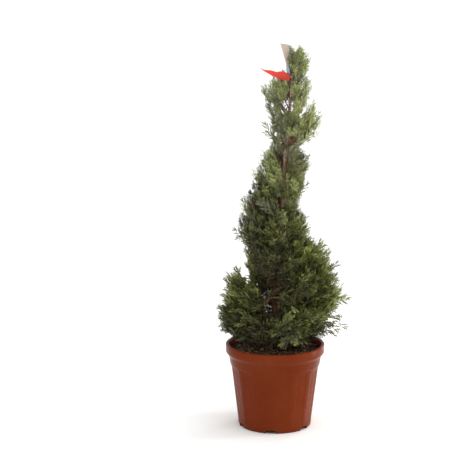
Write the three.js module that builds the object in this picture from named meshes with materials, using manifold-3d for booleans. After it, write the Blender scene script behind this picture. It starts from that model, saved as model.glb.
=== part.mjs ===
// A spiral topiary: a scale-leaved conifer trained on one stem and clipped into a left-handed
// spiral, standing in a fluted plastic pot of potting mix, with a strip label looped round its tip.
//
// Millimetres, +Z up. The origin is the middle of the pot's flat underside. The photograph's
// viewer stands at -Y, so +X is that viewer's right.

import * as THREE from "three";
import { mergeVertices } from "three/addons/utils/BufferGeometryUtils.js";
import Module from "manifold-3d";

const wasm = await Module();
wasm.setup();

const TURN = 2 * Math.PI;
const CLEARANCE = 0.3; // between pieces that meet
const GRID = 0.01; // vertices are rounded to this
const { lerp, clamp, degToRad } = THREE.MathUtils;

// Pot
const POT_HEIGHT = 241.5;
const POT_FLUTES = 14;
const POT_COLUMNS_PER_FLUTE = 3;
const FLUTE_DEPTH = 1.6;
const FLUTE_PHASE = degToRad(-92); // one ridge just left of the front
const WALL = 3;
const FOOT_RADIUS = 104.5;
const BODY_SLOPE = 0.126; // radius gained for each millimetre of height
const BODY_TOP = 181;
const COLLAR_RADIUS = 133.3;
const COLLAR_TOP = 207;
const RIM_RADIUS = 142.5;
const RIM_FACE_BOTTOM = 219;
const RIM_INNER_RADIUS = 134;
const PAD_RADIUS = 52; // the middle of the base stands on the ground
const CHANNEL_HEIGHT = 9.5; // the raised drainage channel between the pad and the foot
const CHANNEL_SLOPE = 6;
const FOOT_WIDTH = 11;
const FOOT_EDGE = 4;
const FLUTES_BOTTOM = 34;
const COLLAR_STEP = 2.5;
const RIM_EDGE = 2.5;
const FLOOR_TOP = 13.5;
const NOTCHES = 6;
const NOTCH_WIDTH = 34;
const NOTCH_TOP_WIDTH = 25;
const NOTCH_HEIGHT = 10.5;
const NOTCH_DEPTH = 30;
const NOTCH_PHASE = degToRad(-97.5);

// Soil
const SOIL_EDGE = 221;
const SOIL_TOP = 231;
const SOIL_RISE = [[70, 228], [20, 231]]; // [radius, height] of its low crown
const SOIL_SIDES = 36;
const SOIL_GAP = 1; // to the pot's wall

// Trunk
const TRUNK_BASE = SOIL_TOP + CLEARANCE;
const TRUNK_TIP = 1080;
const TRUNK_FOOT_X = -7;
const TRUNK_LEAN = 58;
const LEAN_POWER = 1.3;
const TRUNK_SWAY = 4;
const TRUNK_RADIUS = 9.4;
const TRUNK_TIP_RADIUS = 1.4;
const TAPER_POWER = 0.7;
const ROOT_FLARE = 5;
const FLARE_HEIGHT = 13;
const TRUNK_SIDES = 8;
const TRUNK_STEPS = 20;

// Spiral: the open groove falls from right to back to left to front, seen from above. Turns are
// counted down the groove from the right-hand side, so 0.25 is the back and 0.75 the front.
const GROOVE_TOP = 970; // where the groove first passes the right-hand side, at the trunk
const PITCH = 337;
const FRONT_LIFT = 22; // the groove stands this much higher at the front
const GROOVE_HALF = [[0, 10], [0.3, 44], [0.9, 50], [1.3, 32], [2, 26]]; // [turn, half width at the trunk]
const GROOVE_END = 1.92; // past this turn the band reaches down to the skirt
const GROOVE_NARROWING = 0.8; // of the half width, out at the sprays' tips
const TIP_PITCH = 60; // the groove hardly falls in its first part turn
const GROOVE_ROUNDING = 40; // this near the groove the reach falls off
const GROOVE_FALL = 0.45; // by up to this share of its square
const GROOVE_UNDERCUT = 12; // less so under the groove than over it
const CROWN_TOP = [[0.25, 1082], [0.42, 1000], [0.55, 972], [0.72, 950], [0.9, 965], [1, 990]]; // [turn, root]
const SKIRT = 250; // the lowest branches leave the trunk here
const THINNEST = 8;
const RISE_LOW = 0.04; // slope of the branches at the skirt
const RISE_HIGH = 1.25; // and at the top
const FIRST_TURN = -0.6;
const MASS_TURNS = [0.25, 0.58, 0.92, 1.25, 1.58, 1.92, 2.25, 2.58, 2.92]; // where each mass ends
const TIERS = [1, 1, 1, 2, 2, 2, 2, 2, 1]; // storeys of masses where the band is thick
const TIER_GAP = 5;
const SPAN_GAP = 0.012; // in turns, between masses side by side

// The clipped outline as the photograph shows it: [height, x] of its left and right edges, and
// [height, reach] to the front and the back
const LEFT_EDGE = [
  [250, -120], [272, -162], [345, -162], [405, -148], [436, -142], [452, -110], [475, -98], [495, -85],
  [520, -98], [560, -104], [590, -106], [640, -92], [700, -84], [718, -66], [755, -55], [798, -38],
  [815, -15], [850, -14], [872, -27], [892, -12], [918, -18], [935, -38], [990, -42], [1005, -16],
  [1028, -4], [1040, 28], [1095, 32],
];
const RIGHT_EDGE = [
  [245, 132], [290, 160], [311, 138], [325, 148], [350, 184], [430, 184], [455, 170], [500, 163],
  [544, 130], [553, 101], [605, 87], [640, 74], [652, 54], [664, 60], [695, 84], [740, 78], [760, 92],
  [800, 94], [812, 62], [824, 62], [845, 110], [915, 121], [935, 113], [948, 96], [1010, 90], [1028, 84],
  [1050, 97], [1078, 88], [1100, 60],
];
const FRONT_REACH = [
  [245, 85], [275, 125], [320, 155], [400, 168], [460, 145], [520, 122], [600, 100], [680, 86],
  [760, 78], [820, 64], [900, 70], [980, 66], [1020, 50], [1050, 40], [1090, 32],
];
const EDGE_FRAY = 8; // the furthest tips stand this far out of it
const REACH_STEP = 5; // between the places where a branch's reach is tested

// Foliage
const SPRAY_SHARE = 0.56; // a spray's length over the reach of its mass
const SPRAY_LENGTH_RANGE = [0.85, 1.15];
const SPRAY_SHORTEST = 34;
const SPRAY_LONGEST = 80;
const SPRAY_WIDTH = 0.5; // of its length
const SPRAY_FOOT = 0.06; // half the width of its foot
const SPRAY_TEETH = [[0.5, 1], [0.52, 0.34], [0.82, 0.66]]; // its side shoots, [along, aside]
const TOOTH_SHIFT = 0.07; // between the teeth of its two edges
const SPRAY_THICKNESS = 0.03; // of its length
const SPRAY_THINNEST = 1.2;
const SPRAY_SPACING = 0.88; // between tips, of a spray's length
const SPRAY_TRIES = 1400;
const OUTER_SHARES = [0.9, 1.04]; // of the reach: the first half of the tries
const INNER_SHARES = [0.5, 0.95];
const SPRAY_SPREAD = 0.35;
const SPRAY_UPTURN = 1.3; // how far sprays turn up from their branch, near the top
const SPRAY_ROLL = 0.8;
const MOST_BURIED = 0.5; // of a spray, in the core
const HELD_VOLUME = 4; // of two pieces that hold each other
const FURTHEST = 1.06; // of the reach
const LEADER_TRIES = 3; // stray sprays stand out of the outline
const LEADER_SHARE = 1.16;
const LEADER_FURTHEST = 1.18;
const TWIG_RADIUS = 1.5;
const TWIG_TAPER = 0.6;
const TWIG_FROM = 0.4; // of the way from a spray's foot to the mass's hub
const TWIG_TO = 0.3; // along the spray
const SPACE_MARGIN = 1; // that blades keep from the sides of their mass's space
const STEM_ROOM = 3; // that they keep from the trunk
const HUB_SHARE = 0.45; // of the reach, where the twigs meet
const HUB_STEM_RADIUS = 2;
const CORE_FROM = 0.26; // a core goes from this share of the reach
const CORE_TO = 0.74; // to this
const CORE_SPAN = 0.88; // of its mass's part of the turn
const CORE_HEIGHT = 0.86; // of its mass's height
const CORE_STEM_ROOM = 5;
const CORE_BLOCKS = [4, 2, 3]; // around, outwards and up
const CORE_ROUNDING = 0.08;
const CORE_LUMPS = 5;
const BOUGH_LEVEL = 0.25; // of its mass's height, where the bough leaves the trunk
const BOUGH_SHARE = 0.2; // how far out the bough goes before it enters its mass
const BOUGH_RADIUS = 3.4; // for a reach of BOUGH_REACH
const BOUGH_REACH = 110;
const BOUGH_SCALES = [0.62, 1.1];
const BOUGH_TAPER = 0.66;
const BOUGH_SIDES = 6;
const MOST_ATTEMPTS = 8;
const ATTEMPT_SEEDS = 1000; // between the seeds of one mass's attempts

// Label: a blank strap, folded and looped on the stem near its tip. [x, z] from the stem there.
const LABEL_HEIGHT = 1022;
const LABEL_THICKNESS = 0.8;
const LABEL_ROOM = 0.8;
const LABEL_PANELS = [
  {
    name: "label_flag", // the red panel, out to the left
    lean: 0.12,
    outline: [
      [-96, 18], [-80, 11], [-60, 9], [-46, 4], [-28, 7], [-9, -6], [-11, -21], [-35, -17], [-63, -4],
    ],
  },
  {
    name: "label_fold", // the blue fold at the stem
    lean: 0,
    outline: [[-13, 23], [-20, 11], [-8.5, -5], [-9, 9]],
  },
  {
    name: "label_card", // the tan back, up in the air, its foot behind the fold
    lean: 0,
    back: LABEL_THICKNESS + CLEARANCE,
    outline: [[-36, 84], [-10, 80], [-9, 63], [-14, 38], [-14.5, 11], [-17.5, 12], [-19.5, 36]],
  },
  {
    name: "label_tail", // the strap's end, across the stem
    lean: 0,
    outline: [[-8, -5.5], [-8, -9.5], [12, -22], [13, -19]],
  },
];

const trunkShare = (z) => clamp((z - TRUNK_BASE) / (TRUNK_TIP - TRUNK_BASE), 0, 1);

function trunkAxis(z) {
  const s = trunkShare(z);
  const sway = TRUNK_SWAY * Math.sin((TURN * (z - TRUNK_BASE)) / PITCH);
  return new THREE.Vector3(TRUNK_FOOT_X + TRUNK_LEAN * s ** LEAN_POWER, sway, z);
}

function trunkRadius(z) {
  const taper = (TRUNK_RADIUS - TRUNK_TIP_RADIUS) * (1 - trunkShare(z)) ** TAPER_POWER;
  return TRUNK_TIP_RADIUS + taper + ROOT_FLARE * Math.exp(-(z - TRUNK_BASE) / FLARE_HEIGHT);
}

// The second number of a list of pairs, at a value between the first ones.
function along(pairs, value) {
  const next = pairs.findIndex(([key]) => key > value);
  if (next === 0) return pairs[0][1];
  if (next < 0) return pairs[pairs.length - 1][1];
  const [from, low] = pairs[next - 1];
  const [to, high] = pairs[next];
  return lerp(low, high, (value - from) / (to - from));
}

// How far the clipped crown reaches from the trunk.
function crownReach(turn, z) {
  const x = trunkAxis(z).x;
  const toRight = Math.cos(TURN * turn);
  const side = toRight > 0 ? along(RIGHT_EDGE, z) - x : x - along(LEFT_EDGE, z);
  return lerp(along(FRONT_REACH, z), side + EDGE_FRAY, toRight ** 2);
}

const RISE_PER_MM = (RISE_HIGH - RISE_LOW) / (along(CROWN_TOP, 0) - SKIRT);
const riseAt = (root) => RISE_LOW + RISE_PER_MM * (root - SKIRT);
const frontLift = (turn) => FRONT_LIFT * Math.max(0, -Math.sin(TURN * turn));
const grooveAt = (turn) => GROOVE_TOP - (turn < 0 ? TIP_PITCH * turn : PITCH * turn - frontLift(turn));
const halfAt = (turn, share) => along(GROOVE_HALF, turn) * (1 - GROOVE_NARROWING * share);

// The lower and upper side of the band, as roots, at a share of the way out.
const bandBottom = (turn, share) =>
  turn > GROOVE_END ? SKIRT : Math.max(grooveAt(turn) + halfAt(turn, share), SKIRT);
const bandTop = (turn, share) => {
  const clipped = along(CROWN_TOP, turn);
  return turn < FIRST_TURN + 1 ? clipped : Math.min(grooveAt(turn - 1) - halfAt(turn - 1, share), clipped);
};

// A point of a mass is given by its turn, its root, which is the height where its branch leaves
// the trunk, and its distance from the trunk.
function pointAt(turn, root, r) {
  const z = root + riseAt(root) * r;
  const axis = trunkAxis(z);
  return new THREE.Vector3(axis.x + r * Math.cos(TURN * turn), axis.y + r * Math.sin(TURN * turn), z);
}

function placeOf(point) {
  const axis = trunkAxis(point.z);
  const [dx, dy] = [point.x - axis.x, point.y - axis.y];
  const r = Math.hypot(dx, dy);
  const root = (point.z - r * (RISE_LOW - RISE_PER_MM * SKIRT)) / (1 + r * RISE_PER_MM);
  return { turn: Math.atan2(dy, dx) / TURN, root, r };
}

// The reach along one branch, up to where it first leaves the outline. The groove above and below
// rounds it off.
function reachAt(turn, root) {
  const roomAt = (r) => crownReach(turn, root + riseAt(root) * r) - r;
  let r = REACH_STEP;
  while (roomAt(r) >= 0) r += REACH_STEP;
  const before = roomAt(r - REACH_STEP);
  const reach = Math.max(r - REACH_STEP + (REACH_STEP * before) / (before - roomAt(r)), REACH_STEP);
  const depth = Math.min(root - bandBottom(turn, 1), bandTop(turn, 1) + GROOVE_UNDERCUT - root);
  const share = clamp(depth / GROOVE_ROUNDING, 0, 1);
  return reach * Math.sqrt(1 - GROOVE_FALL * (1 - share) ** 2);
}

// The masses, from the tip down: each is about a third of a turn of the band, by the right-hand
// side and the back, the left and the back, or the front.
function crownMasses() {
  const masses = [];
  const coils = ["top", "upper", "lower"];
  const sides = ["right", "left", "front"];
  MASS_TURNS.forEach((end, k) => {
    const from = (k ? MASS_TURNS[k - 1] : FIRST_TURN) + SPAN_GAP / 2;
    const to = end - SPAN_GAP / 2;
    const tiers = TIERS[k];
    for (let tier = 0; tier < tiers; tier++) {
      const level = (turn, share, t) => {
        const low = bandBottom(turn, share);
        return lerp(low, Math.max(bandTop(turn, share), low + THINNEST), t);
      };
      const low = (turn, share) => level(turn, share, tier / tiers) + (tier ? TIER_GAP / 2 : 0);
      const high = (turn, share) =>
        level(turn, share, (tier + 1) / tiers) - (tier < tiers - 1 ? TIER_GAP / 2 : 0);
      const storey = tiers < 2 ? "" : ["_low", "_high"][tier];
      const name = `${coils[Math.floor(k / 3)]}_${sides[k % 3]}${storey}`;
      masses.push({ name, from, to, low, high });
    }
  });
  return masses;
}

const middleOf = (mass) => (mass.from + mass.to) / 2;

// Whether a point is in the space that a mass keeps to.
function inside(mass, point, slack, furthest) {
  const { turn, root, r } = placeOf(point);
  const unwrapped = turn + Math.round(middleOf(mass) - turn);
  const sideways = slack / (TURN * Math.max(r, 1));
  if (unwrapped < mass.from + sideways || unwrapped > mass.to - sideways) return false;
  const reach = reachAt(unwrapped, root);
  const share = Math.min(r / reach, 1);
  return (
    root > mass.low(unwrapped, share) + slack &&
    root < mass.high(unwrapped, share) - slack &&
    r > trunkRadius(point.z) + STEM_ROOM &&
    r < furthest * reach
  );
}

// A closed geometry as a solid, and a solid as a geometry.
function solidOf(geometry) {
  const bare = geometry.clone();
  bare.deleteAttribute("normal");
  bare.deleteAttribute("uv");
  const merged = mergeVertices(bare, 1e-4);
  const solid = new wasm.Manifold(
    new wasm.Mesh({
      numProp: 3,
      vertProperties: new Float32Array(merged.attributes.position.array),
      triVerts: new Uint32Array(merged.index.array),
    }),
  );
  return solid;
}

// A solid's surface, with its vertices on a fine grid so that none lie closer than GRID.
function geometryOf(solid) {
  const mesh = solid.getMesh();
  const positions = new Float32Array(mesh.numVert * 3);
  for (let i = 0; i < mesh.numVert; i++)
    for (let j = 0; j < 3; j++)
      positions[3 * i + j] = Math.round(mesh.vertProperties[mesh.numProp * i + j] / GRID) * GRID;
  const geometry = new THREE.BufferGeometry();
  geometry.setAttribute("position", new THREE.BufferAttribute(positions, 3));
  geometry.setIndex(Array.from(mesh.triVerts));
  const merged = mergeVertices(geometry, GRID / 10);
  const corners = merged.index.array;
  const kept = [];
  for (let i = 0; i < corners.length; i += 3) {
    const [a, b, c] = corners.slice(i, i + 3);
    if (a !== b && b !== c && c !== a) kept.push(a, b, c);
  }
  merged.setIndex(kept);
  merged.computeVertexNormals();
  return merged;
}

// Whether each edge has one face on either side of it.
function isClosed(geometry) {
  const corners = geometry.index.array;
  const edges = new Set();
  for (let i = 0; i < corners.length; i += 3)
    for (let j = 0; j < 3; j++) {
      const edge = `${corners[i + j]}>${corners[i + ((j + 1) % 3)]}`;
      if (edges.has(edge)) return false;
      edges.add(edge);
    }
  return [...edges].every((edge) => edges.has(edge.split(">").reverse().join(">")));
}

const joined = (solids) => solids.reduce((sum, solid) => sum.add(solid));

function largestBody(solid) {
  const bodies = solid.decompose();
  return bodies.reduce((best, body) => (body.volume() > best.volume() ? body : best));
}

// A tapering limb along a curve, made by bending a cylinder.
function limb(curve, radiusAt, sides, steps) {
  const geometry = new THREE.CylinderGeometry(1, 1, 1, sides, steps);
  const position = geometry.attributes.position;
  const across = new THREE.Vector3();
  const up = new THREE.Vector3();
  for (let i = 0; i < position.count; i++) {
    const t = clamp(position.getY(i) + 0.5, 0, 1);
    const tangent = curve.getTangent(t);
    const aside = Math.abs(tangent.z) > 0.8 ? new THREE.Vector3(1, 0, 0) : new THREE.Vector3(0, 0, 1);
    across.crossVectors(aside, tangent).normalize();
    up.crossVectors(tangent, across);
    const centre = curve.getPoint(t).addScaledVector(up, radiusAt(t) * position.getX(i));
    centre.addScaledVector(across, radiusAt(t) * position.getZ(i));
    position.setXYZ(i, centre.x, centre.y, centre.z);
  }
  return geometry;
}

const lineFrom = (start, end) => new THREE.LineCurve3(start, end);

// One spray: a flat frond whose side shoots stand out as teeth.
function sprayGeometry({ base, direction, facing, length }) {
  const half = (SPRAY_WIDTH * length) / 2;
  const shape = new THREE.Shape();
  shape.moveTo(-SPRAY_FOOT * length, 0);
  SPRAY_TEETH.forEach(([y, x]) => shape.lineTo(-half * x, length * y));
  shape.lineTo(0, length);
  [...SPRAY_TEETH].reverse().forEach(([y, x]) => shape.lineTo(half * x, length * (y - TOOTH_SHIFT)));
  shape.lineTo(SPRAY_FOOT * length, 0);
  const depth = Math.max(SPRAY_THINNEST, SPRAY_THICKNESS * length);
  const geometry = new THREE.ExtrudeGeometry(shape, { depth, bevelEnabled: false });
  geometry.translate(0, 0, -depth / 2);
  const x = new THREE.Vector3().crossVectors(direction, facing).normalize();
  const z = new THREE.Vector3().crossVectors(x, direction);
  return geometry.applyMatrix4(new THREE.Matrix4().makeBasis(x, direction, z).setPosition(base));
}

// A repeatable stream of numbers from 0 to 1.
function seeded(seed) {
  let state = seed >>> 0;
  return () => {
    state = (state + 0x6d2b79f5) >>> 0;
    let t = Math.imul(state ^ (state >>> 15), 1 | state);
    t = (t + Math.imul(t ^ (t >>> 7), 61 | t)) ^ t;
    return ((t ^ (t >>> 14)) >>> 0) / 4294967296;
  };
}

const bodyRadius = (z) => FOOT_RADIUS + BODY_SLOPE * z;

// The inside of the pot's wall, up to the collar.
function innerRadius(z) {
  const share = clamp((z - BODY_TOP) / (COLLAR_TOP - BODY_TOP), 0, 1);
  return lerp(bodyRadius(Math.min(z, BODY_TOP)), COLLAR_RADIUS, share) - WALL;
}

// The pot's section: the pad, the drainage channel, the foot, the wall, the collar and the rim, and
// back down the inside.
function potGeometry() {
  const profile = [
    [0, 0],
    [PAD_RADIUS, 0],
    [PAD_RADIUS + CHANNEL_SLOPE, CHANNEL_HEIGHT],
    [FOOT_RADIUS - FOOT_WIDTH - WALL, CHANNEL_HEIGHT],
    [FOOT_RADIUS - FOOT_WIDTH, 0],
    [FOOT_RADIUS - FOOT_EDGE, 0],
    [bodyRadius(FOOT_EDGE), FOOT_EDGE],
    [bodyRadius(FLUTES_BOTTOM), FLUTES_BOTTOM],
    [bodyRadius(BODY_TOP), BODY_TOP],
    [bodyRadius(BODY_TOP) + COLLAR_STEP, BODY_TOP + COLLAR_STEP],
    [COLLAR_RADIUS, COLLAR_TOP],
    [RIM_RADIUS, RIM_FACE_BOTTOM],
    [RIM_RADIUS, POT_HEIGHT - RIM_EDGE],
    [RIM_RADIUS - RIM_EDGE, POT_HEIGHT],
    [RIM_INNER_RADIUS, POT_HEIGHT],
    [innerRadius(COLLAR_TOP), COLLAR_TOP],
    [innerRadius(BODY_TOP), BODY_TOP],
    [innerRadius(FLOOR_TOP), FLOOR_TOP],
    [0, FLOOR_TOP],
  ];
  const points = profile.map(([r, z]) => new THREE.Vector2(r, z));
  const geometry = new THREE.LatheGeometry(points, POT_FLUTES * POT_COLUMNS_PER_FLUTE);
  geometry.rotateX(Math.PI / 2);
  geometry.rotateZ(FLUTE_PHASE);
  return geometry;
}

// The body's flutes: ridges that stand a little out of flat panels.
function fluted(geometry) {
  const position = geometry.attributes.position;
  for (let i = 0; i < position.count; i++) {
    const [x, y, z] = [position.getX(i), position.getY(i), position.getZ(i)];
    const r = Math.hypot(x, y);
    const onBody = z > FLUTES_BOTTOM - 1 && z < BODY_TOP + 1 && r > bodyRadius(z) - FLUTE_DEPTH / 2;
    if (!onBody) continue;
    const column = Math.round(((Math.atan2(y, x) - FLUTE_PHASE) / TURN) * POT_FLUTES * POT_COLUMNS_PER_FLUTE);
    const onRidge = column % POT_COLUMNS_PER_FLUTE === 0;
    const depth = onRidge ? 0 : FLUTE_DEPTH;
    position.setXY(i, x * (1 - depth / r), y * (1 - depth / r));
  }
  return geometry;
}

function notch(k) {
  const shape = new THREE.Shape();
  shape.moveTo(-NOTCH_WIDTH / 2, -1);
  shape.lineTo(NOTCH_WIDTH / 2, -1);
  shape.lineTo(NOTCH_TOP_WIDTH / 2, NOTCH_HEIGHT);
  shape.lineTo(-NOTCH_TOP_WIDTH / 2, NOTCH_HEIGHT);
  const geometry = new THREE.ExtrudeGeometry(shape, { depth: NOTCH_DEPTH, bevelEnabled: false });
  geometry.rotateX(Math.PI / 2);
  geometry.translate(0, FOOT_RADIUS + NOTCH_DEPTH / 2, 0);
  geometry.rotateZ(NOTCH_PHASE - Math.PI / 2 + (k * TURN) / NOTCHES);
  return geometry;
}

function potSolid() {
  const pot = solidOf(fluted(potGeometry()));
  const notches = Array.from({ length: NOTCHES }, (_, k) => solidOf(notch(k)));
  return notches.reduce((rest, cut) => rest.subtract(cut), pot);
}

function soilGeometry() {
  const profile = [
    [0, FLOOR_TOP + CLEARANCE],
    [innerRadius(FLOOR_TOP) - SOIL_GAP, FLOOR_TOP + CLEARANCE],
    [innerRadius(BODY_TOP) - SOIL_GAP, BODY_TOP],
    [innerRadius(COLLAR_TOP) - SOIL_GAP, COLLAR_TOP],
    [innerRadius(COLLAR_TOP) - SOIL_GAP, SOIL_EDGE],
    ...SOIL_RISE,
    [0, SOIL_TOP],
  ];
  const points = profile.map(([r, z]) => new THREE.Vector2(r, z));
  return new THREE.LatheGeometry(points, SOIL_SIDES).rotateX(Math.PI / 2);
}

class TrunkCurve extends THREE.Curve {
  getPoint(t) {
    return trunkAxis(lerp(TRUNK_BASE, TRUNK_TIP, t));
  }
}

function trunkGeometry(extra = 0) {
  const radius = (t) => trunkRadius(lerp(TRUNK_BASE, TRUNK_TIP, t)) + extra;
  const geometry = limb(new TrunkCurve(), radius, TRUNK_SIDES, TRUNK_STEPS);
  const position = geometry.attributes.position;
  for (let i = 0; i < position.count; i++)
    if (position.getZ(i) < TRUNK_BASE + 1) position.setZ(i, TRUNK_BASE); // the flat cut at the soil
  return geometry;
}

const rootOf = (mass) =>
  lerp(mass.low(middleOf(mass), CORE_FROM), mass.high(middleOf(mass), CORE_FROM), BOUGH_LEVEL);
const boughEnd = (mass) => BOUGH_SHARE * reachAt(middleOf(mass), rootOf(mass)) + trunkRadius(rootOf(mass));

function boughGeometry(mass, extra = 0) {
  const turn = middleOf(mass);
  const root = rootOf(mass);
  const scale = clamp(reachAt(turn, root) / BOUGH_REACH, ...BOUGH_SCALES);
  const radius = (t) => BOUGH_RADIUS * lerp(1, BOUGH_TAPER, t) * scale + extra;
  const line = lineFrom(pointAt(turn, root, 0), pointAt(turn, root, boughEnd(mass) + extra));
  return limb(line, radius, BOUGH_SIDES, 2);
}

// The dense inner growth of a mass: a block bent round the trunk, with rounded corners and lumps.
function coreGeometry(mass, random) {
  const [around, outwards, up] = CORE_BLOCKS;
  const block = new THREE.BoxGeometry(1, 1, 1, around, outwards, up);
  block.deleteAttribute("normal");
  block.deleteAttribute("uv");
  const geometry = mergeVertices(block, 1e-4);
  const position = geometry.attributes.position;
  for (let i = 0; i < position.count; i++) {
    const [x, y, z] = [2 * position.getX(i), 2 * position.getY(i), 2 * position.getZ(i)];
    const round = 1 - CORE_ROUNDING * (x * x * z * z + y * y * (x * x + z * z));
    const turn = middleOf(mass) - (CORE_SPAN / 2) * x * round * (mass.to - mass.from);
    const share = lerp(CORE_FROM, CORE_TO, 0.5 + 0.5 * y * round);
    const root = lerp(mass.low(turn, share), mass.high(turn, share), 0.5 + (CORE_HEIGHT / 2) * z * round);
    const r = Math.max(share * reachAt(turn, root), trunkRadius(root) + CORE_STEM_ROOM);
    const point = pointAt(turn, root, r + (y > 0 ? CORE_LUMPS * (random() - 0.5) : 0));
    position.setXYZ(i, point.x, point.y, point.z);
  }
  return geometry;
}

// One panel of the label, with an extra margin on every side. Its corners move out by twice that,
// so that sharp ones keep the margin too.
function labelGeometry({ outline, lean, back = 0 }, extra = 0) {
  const middle = outline.reduce((sum, [x, z]) => sum.add(new THREE.Vector2(x, z)), new THREE.Vector2());
  middle.divideScalar(outline.length);
  const points = outline.map(([x, z]) => {
    const point = new THREE.Vector2(x, z);
    return point.add(point.clone().sub(middle).setLength(2 * extra));
  });
  const depth = LABEL_THICKNESS + 2 * extra;
  const geometry = new THREE.ExtrudeGeometry(new THREE.Shape(points), { depth, bevelEnabled: false });
  return geometry.translate(0, 0, -extra - back).rotateX(Math.PI / 2).rotateZ(lean);
}

function labelPlace() {
  const stem = trunkAxis(LABEL_HEIGHT);
  return stem.setY(stem.y - trunkRadius(LABEL_HEIGHT) - CLEARANCE);
}

// The room that the foliage leaves round the label.
const labelRoom = () =>
  LABEL_PANELS.map((panel) => {
    const { x, y, z } = labelPlace();
    return solidOf(labelGeometry(panel, LABEL_ROOM).translate(x, y, z));
  });

// One spray of a mass, placed by chance: the first few lead out of the outline, and then the outer
// sprays come before the inner ones.
function spraySomewhere(mass, k, random) {
  const between = (low, high) => lerp(low, high, random());
  const leads = k < LEADER_TRIES;
  const shares = leads ? [LEADER_SHARE, LEADER_SHARE] : k < SPRAY_TRIES / 2 ? OUTER_SHARES : INNER_SHARES;
  const turn = between(mass.from, mass.to);
  const share = between(...shares);
  const root = between(mass.low(turn, share), mass.high(turn, share));
  const reach = reachAt(turn, root);
  const tip = pointAt(turn, root, share * reach);
  const length = clamp(SPRAY_SHARE * reach * between(...SPRAY_LENGTH_RANGE), SPRAY_SHORTEST, SPRAY_LONGEST);
  const lean = new THREE.Vector3(between(-1, 1), between(-1, 1), between(-1, 1)).multiplyScalar(SPRAY_SPREAD);
  lean.z += SPRAY_UPTURN * Math.sqrt(clamp((root - SKIRT) / (along(CROWN_TOP, 0) - SKIRT), 0, 1));
  const outward = tip.clone().sub(pointAt(turn, root, CORE_FROM * reach)).normalize();
  const direction = outward.add(lean).normalize();
  const base = tip.clone().addScaledVector(direction, -length);
  const around = new THREE.Vector3(-Math.sin(TURN * turn), Math.cos(TURN * turn), 0);
  const facing = new THREE.Vector3().crossVectors(around, direction).normalize();
  facing.addScaledVector(around, between(-SPRAY_ROLL, SPRAY_ROLL)).normalize();
  return { tip, base, direction, facing, length, furthest: leads ? LEADER_FURTHEST : FURTHEST };
}

// Whether every corner of a blade is in the space that its mass keeps to.
function fitsIn(mass, blade, furthest) {
  const corners = blade.attributes.position;
  const corner = new THREE.Vector3();
  for (let i = 0; i < corners.count; i++)
    if (!inside(mass, corner.fromBufferAttribute(corners, i), SPACE_MARGIN, furthest)) return false;
  return true;
}

// A twig from near the hub of a mass into a spray.
function twigTo({ base, direction, length }, hub) {
  const foot = base.clone().lerp(hub, TWIG_FROM);
  const end = base.clone().addScaledVector(direction, TWIG_TO * length);
  return solidOf(limb(lineFrom(foot, end), (t) => TWIG_RADIUS * lerp(1, TWIG_TAPER, t), 3, 1));
}

// The core with the sprays that stand out of it. No two tips are close together, each spray is in
// the mass's own space, and each is held by the core or by a twig.
function massSolid(mass, seed) {
  const random = seeded(seed);
  const root = rootOf(mass);
  const hub = pointAt(middleOf(mass), root, HUB_SHARE * reachAt(middleOf(mass), root));
  const stemFoot = pointAt(middleOf(mass), root, boughEnd(mass) + CLEARANCE);
  const core = solidOf(coreGeometry(mass, random));
  const pieces = [core, solidOf(limb(lineFrom(stemFoot, hub), () => HUB_STEM_RADIUS, 5, 1))];
  const tips = [];
  for (let k = 0; k < SPRAY_TRIES; k++) {
    const spray = spraySomewhere(mass, k, random);
    if (tips.some((other) => other.distanceTo(spray.tip) < SPRAY_SPACING * spray.length)) continue;
    const blade = sprayGeometry(spray);
    if (!fitsIn(mass, blade, spray.furthest)) continue;
    const solid = solidOf(blade);
    const buried = core.intersect(solid).volume();
    if (buried > MOST_BURIED * solid.volume()) continue;
    if (buried <= HELD_VOLUME) {
      const twig = twigTo(spray, hub);
      if (core.intersect(twig).volume() < HELD_VOLUME) continue;
      pieces.push(twig);
    }
    pieces.push(solid);
    tips.push(spray.tip);
  }
  const limbs = [solidOf(trunkGeometry(CLEARANCE)), solidOf(boughGeometry(mass, CLEARANCE))];
  const inTheWay = mass.name.startsWith("top") ? [...limbs, ...labelRoom()] : limbs;
  return largestBody(inTheWay.reduce((rest, cut) => rest.subtract(cut), joined(pieces)));
}

// A mass whose surface is still closed once its vertices are on the grid, or else the last attempt.
function massGeometry(mass, k) {
  let geometry;
  for (let attempt = 0; attempt < MOST_ATTEMPTS && !(geometry && isClosed(geometry)); attempt++)
    geometry = geometryOf(massSolid(mass, k + 1 + ATTEMPT_SEEDS * attempt));
  return geometry;
}

const finish = (color, roughness, metalness = 0) =>
  new THREE.MeshStandardMaterial({ color, roughness, metalness });
const POT_PLASTIC = finish(0x8a3a22, 0.45);
const POTTING_MIX = finish(0x2b211b, 0.95);
const BARK = finish(0x6a4636, 0.9);
const GREEN = finish(0x4b5d2c, 0.8);
const RED_PRINT = finish(0xe0402a, 0.5);
const BLUE_PRINT = finish(0x8fc4ea, 0.5);
const CARD_BACK = finish(0xc9ab95, 0.7);
const LABEL_FINISH = {
  label_flag: RED_PRINT,
  label_fold: BLUE_PRINT,
  label_card: CARD_BACK,
  label_tail: CARD_BACK,
};

function mesh(name, geometry, material) {
  const made = new THREE.Mesh(geometry, material);
  made.name = name;
  return made;
}

function boughSolid(mass) {
  return largestBody(solidOf(boughGeometry(mass)).subtract(solidOf(trunkGeometry(CLEARANCE))));
}

const topiary = new THREE.Group();
topiary.add(mesh("pot", geometryOf(potSolid()), POT_PLASTIC));
topiary.add(mesh("soil", geometryOf(solidOf(soilGeometry())), POTTING_MIX));
topiary.add(mesh("trunk", geometryOf(solidOf(trunkGeometry())), BARK));
crownMasses().forEach((mass, k) => {
  topiary.add(mesh(`bough_${mass.name}`, geometryOf(boughSolid(mass)), BARK));
  topiary.add(mesh(`foliage_${mass.name}`, massGeometry(mass, k), GREEN));
});

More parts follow.
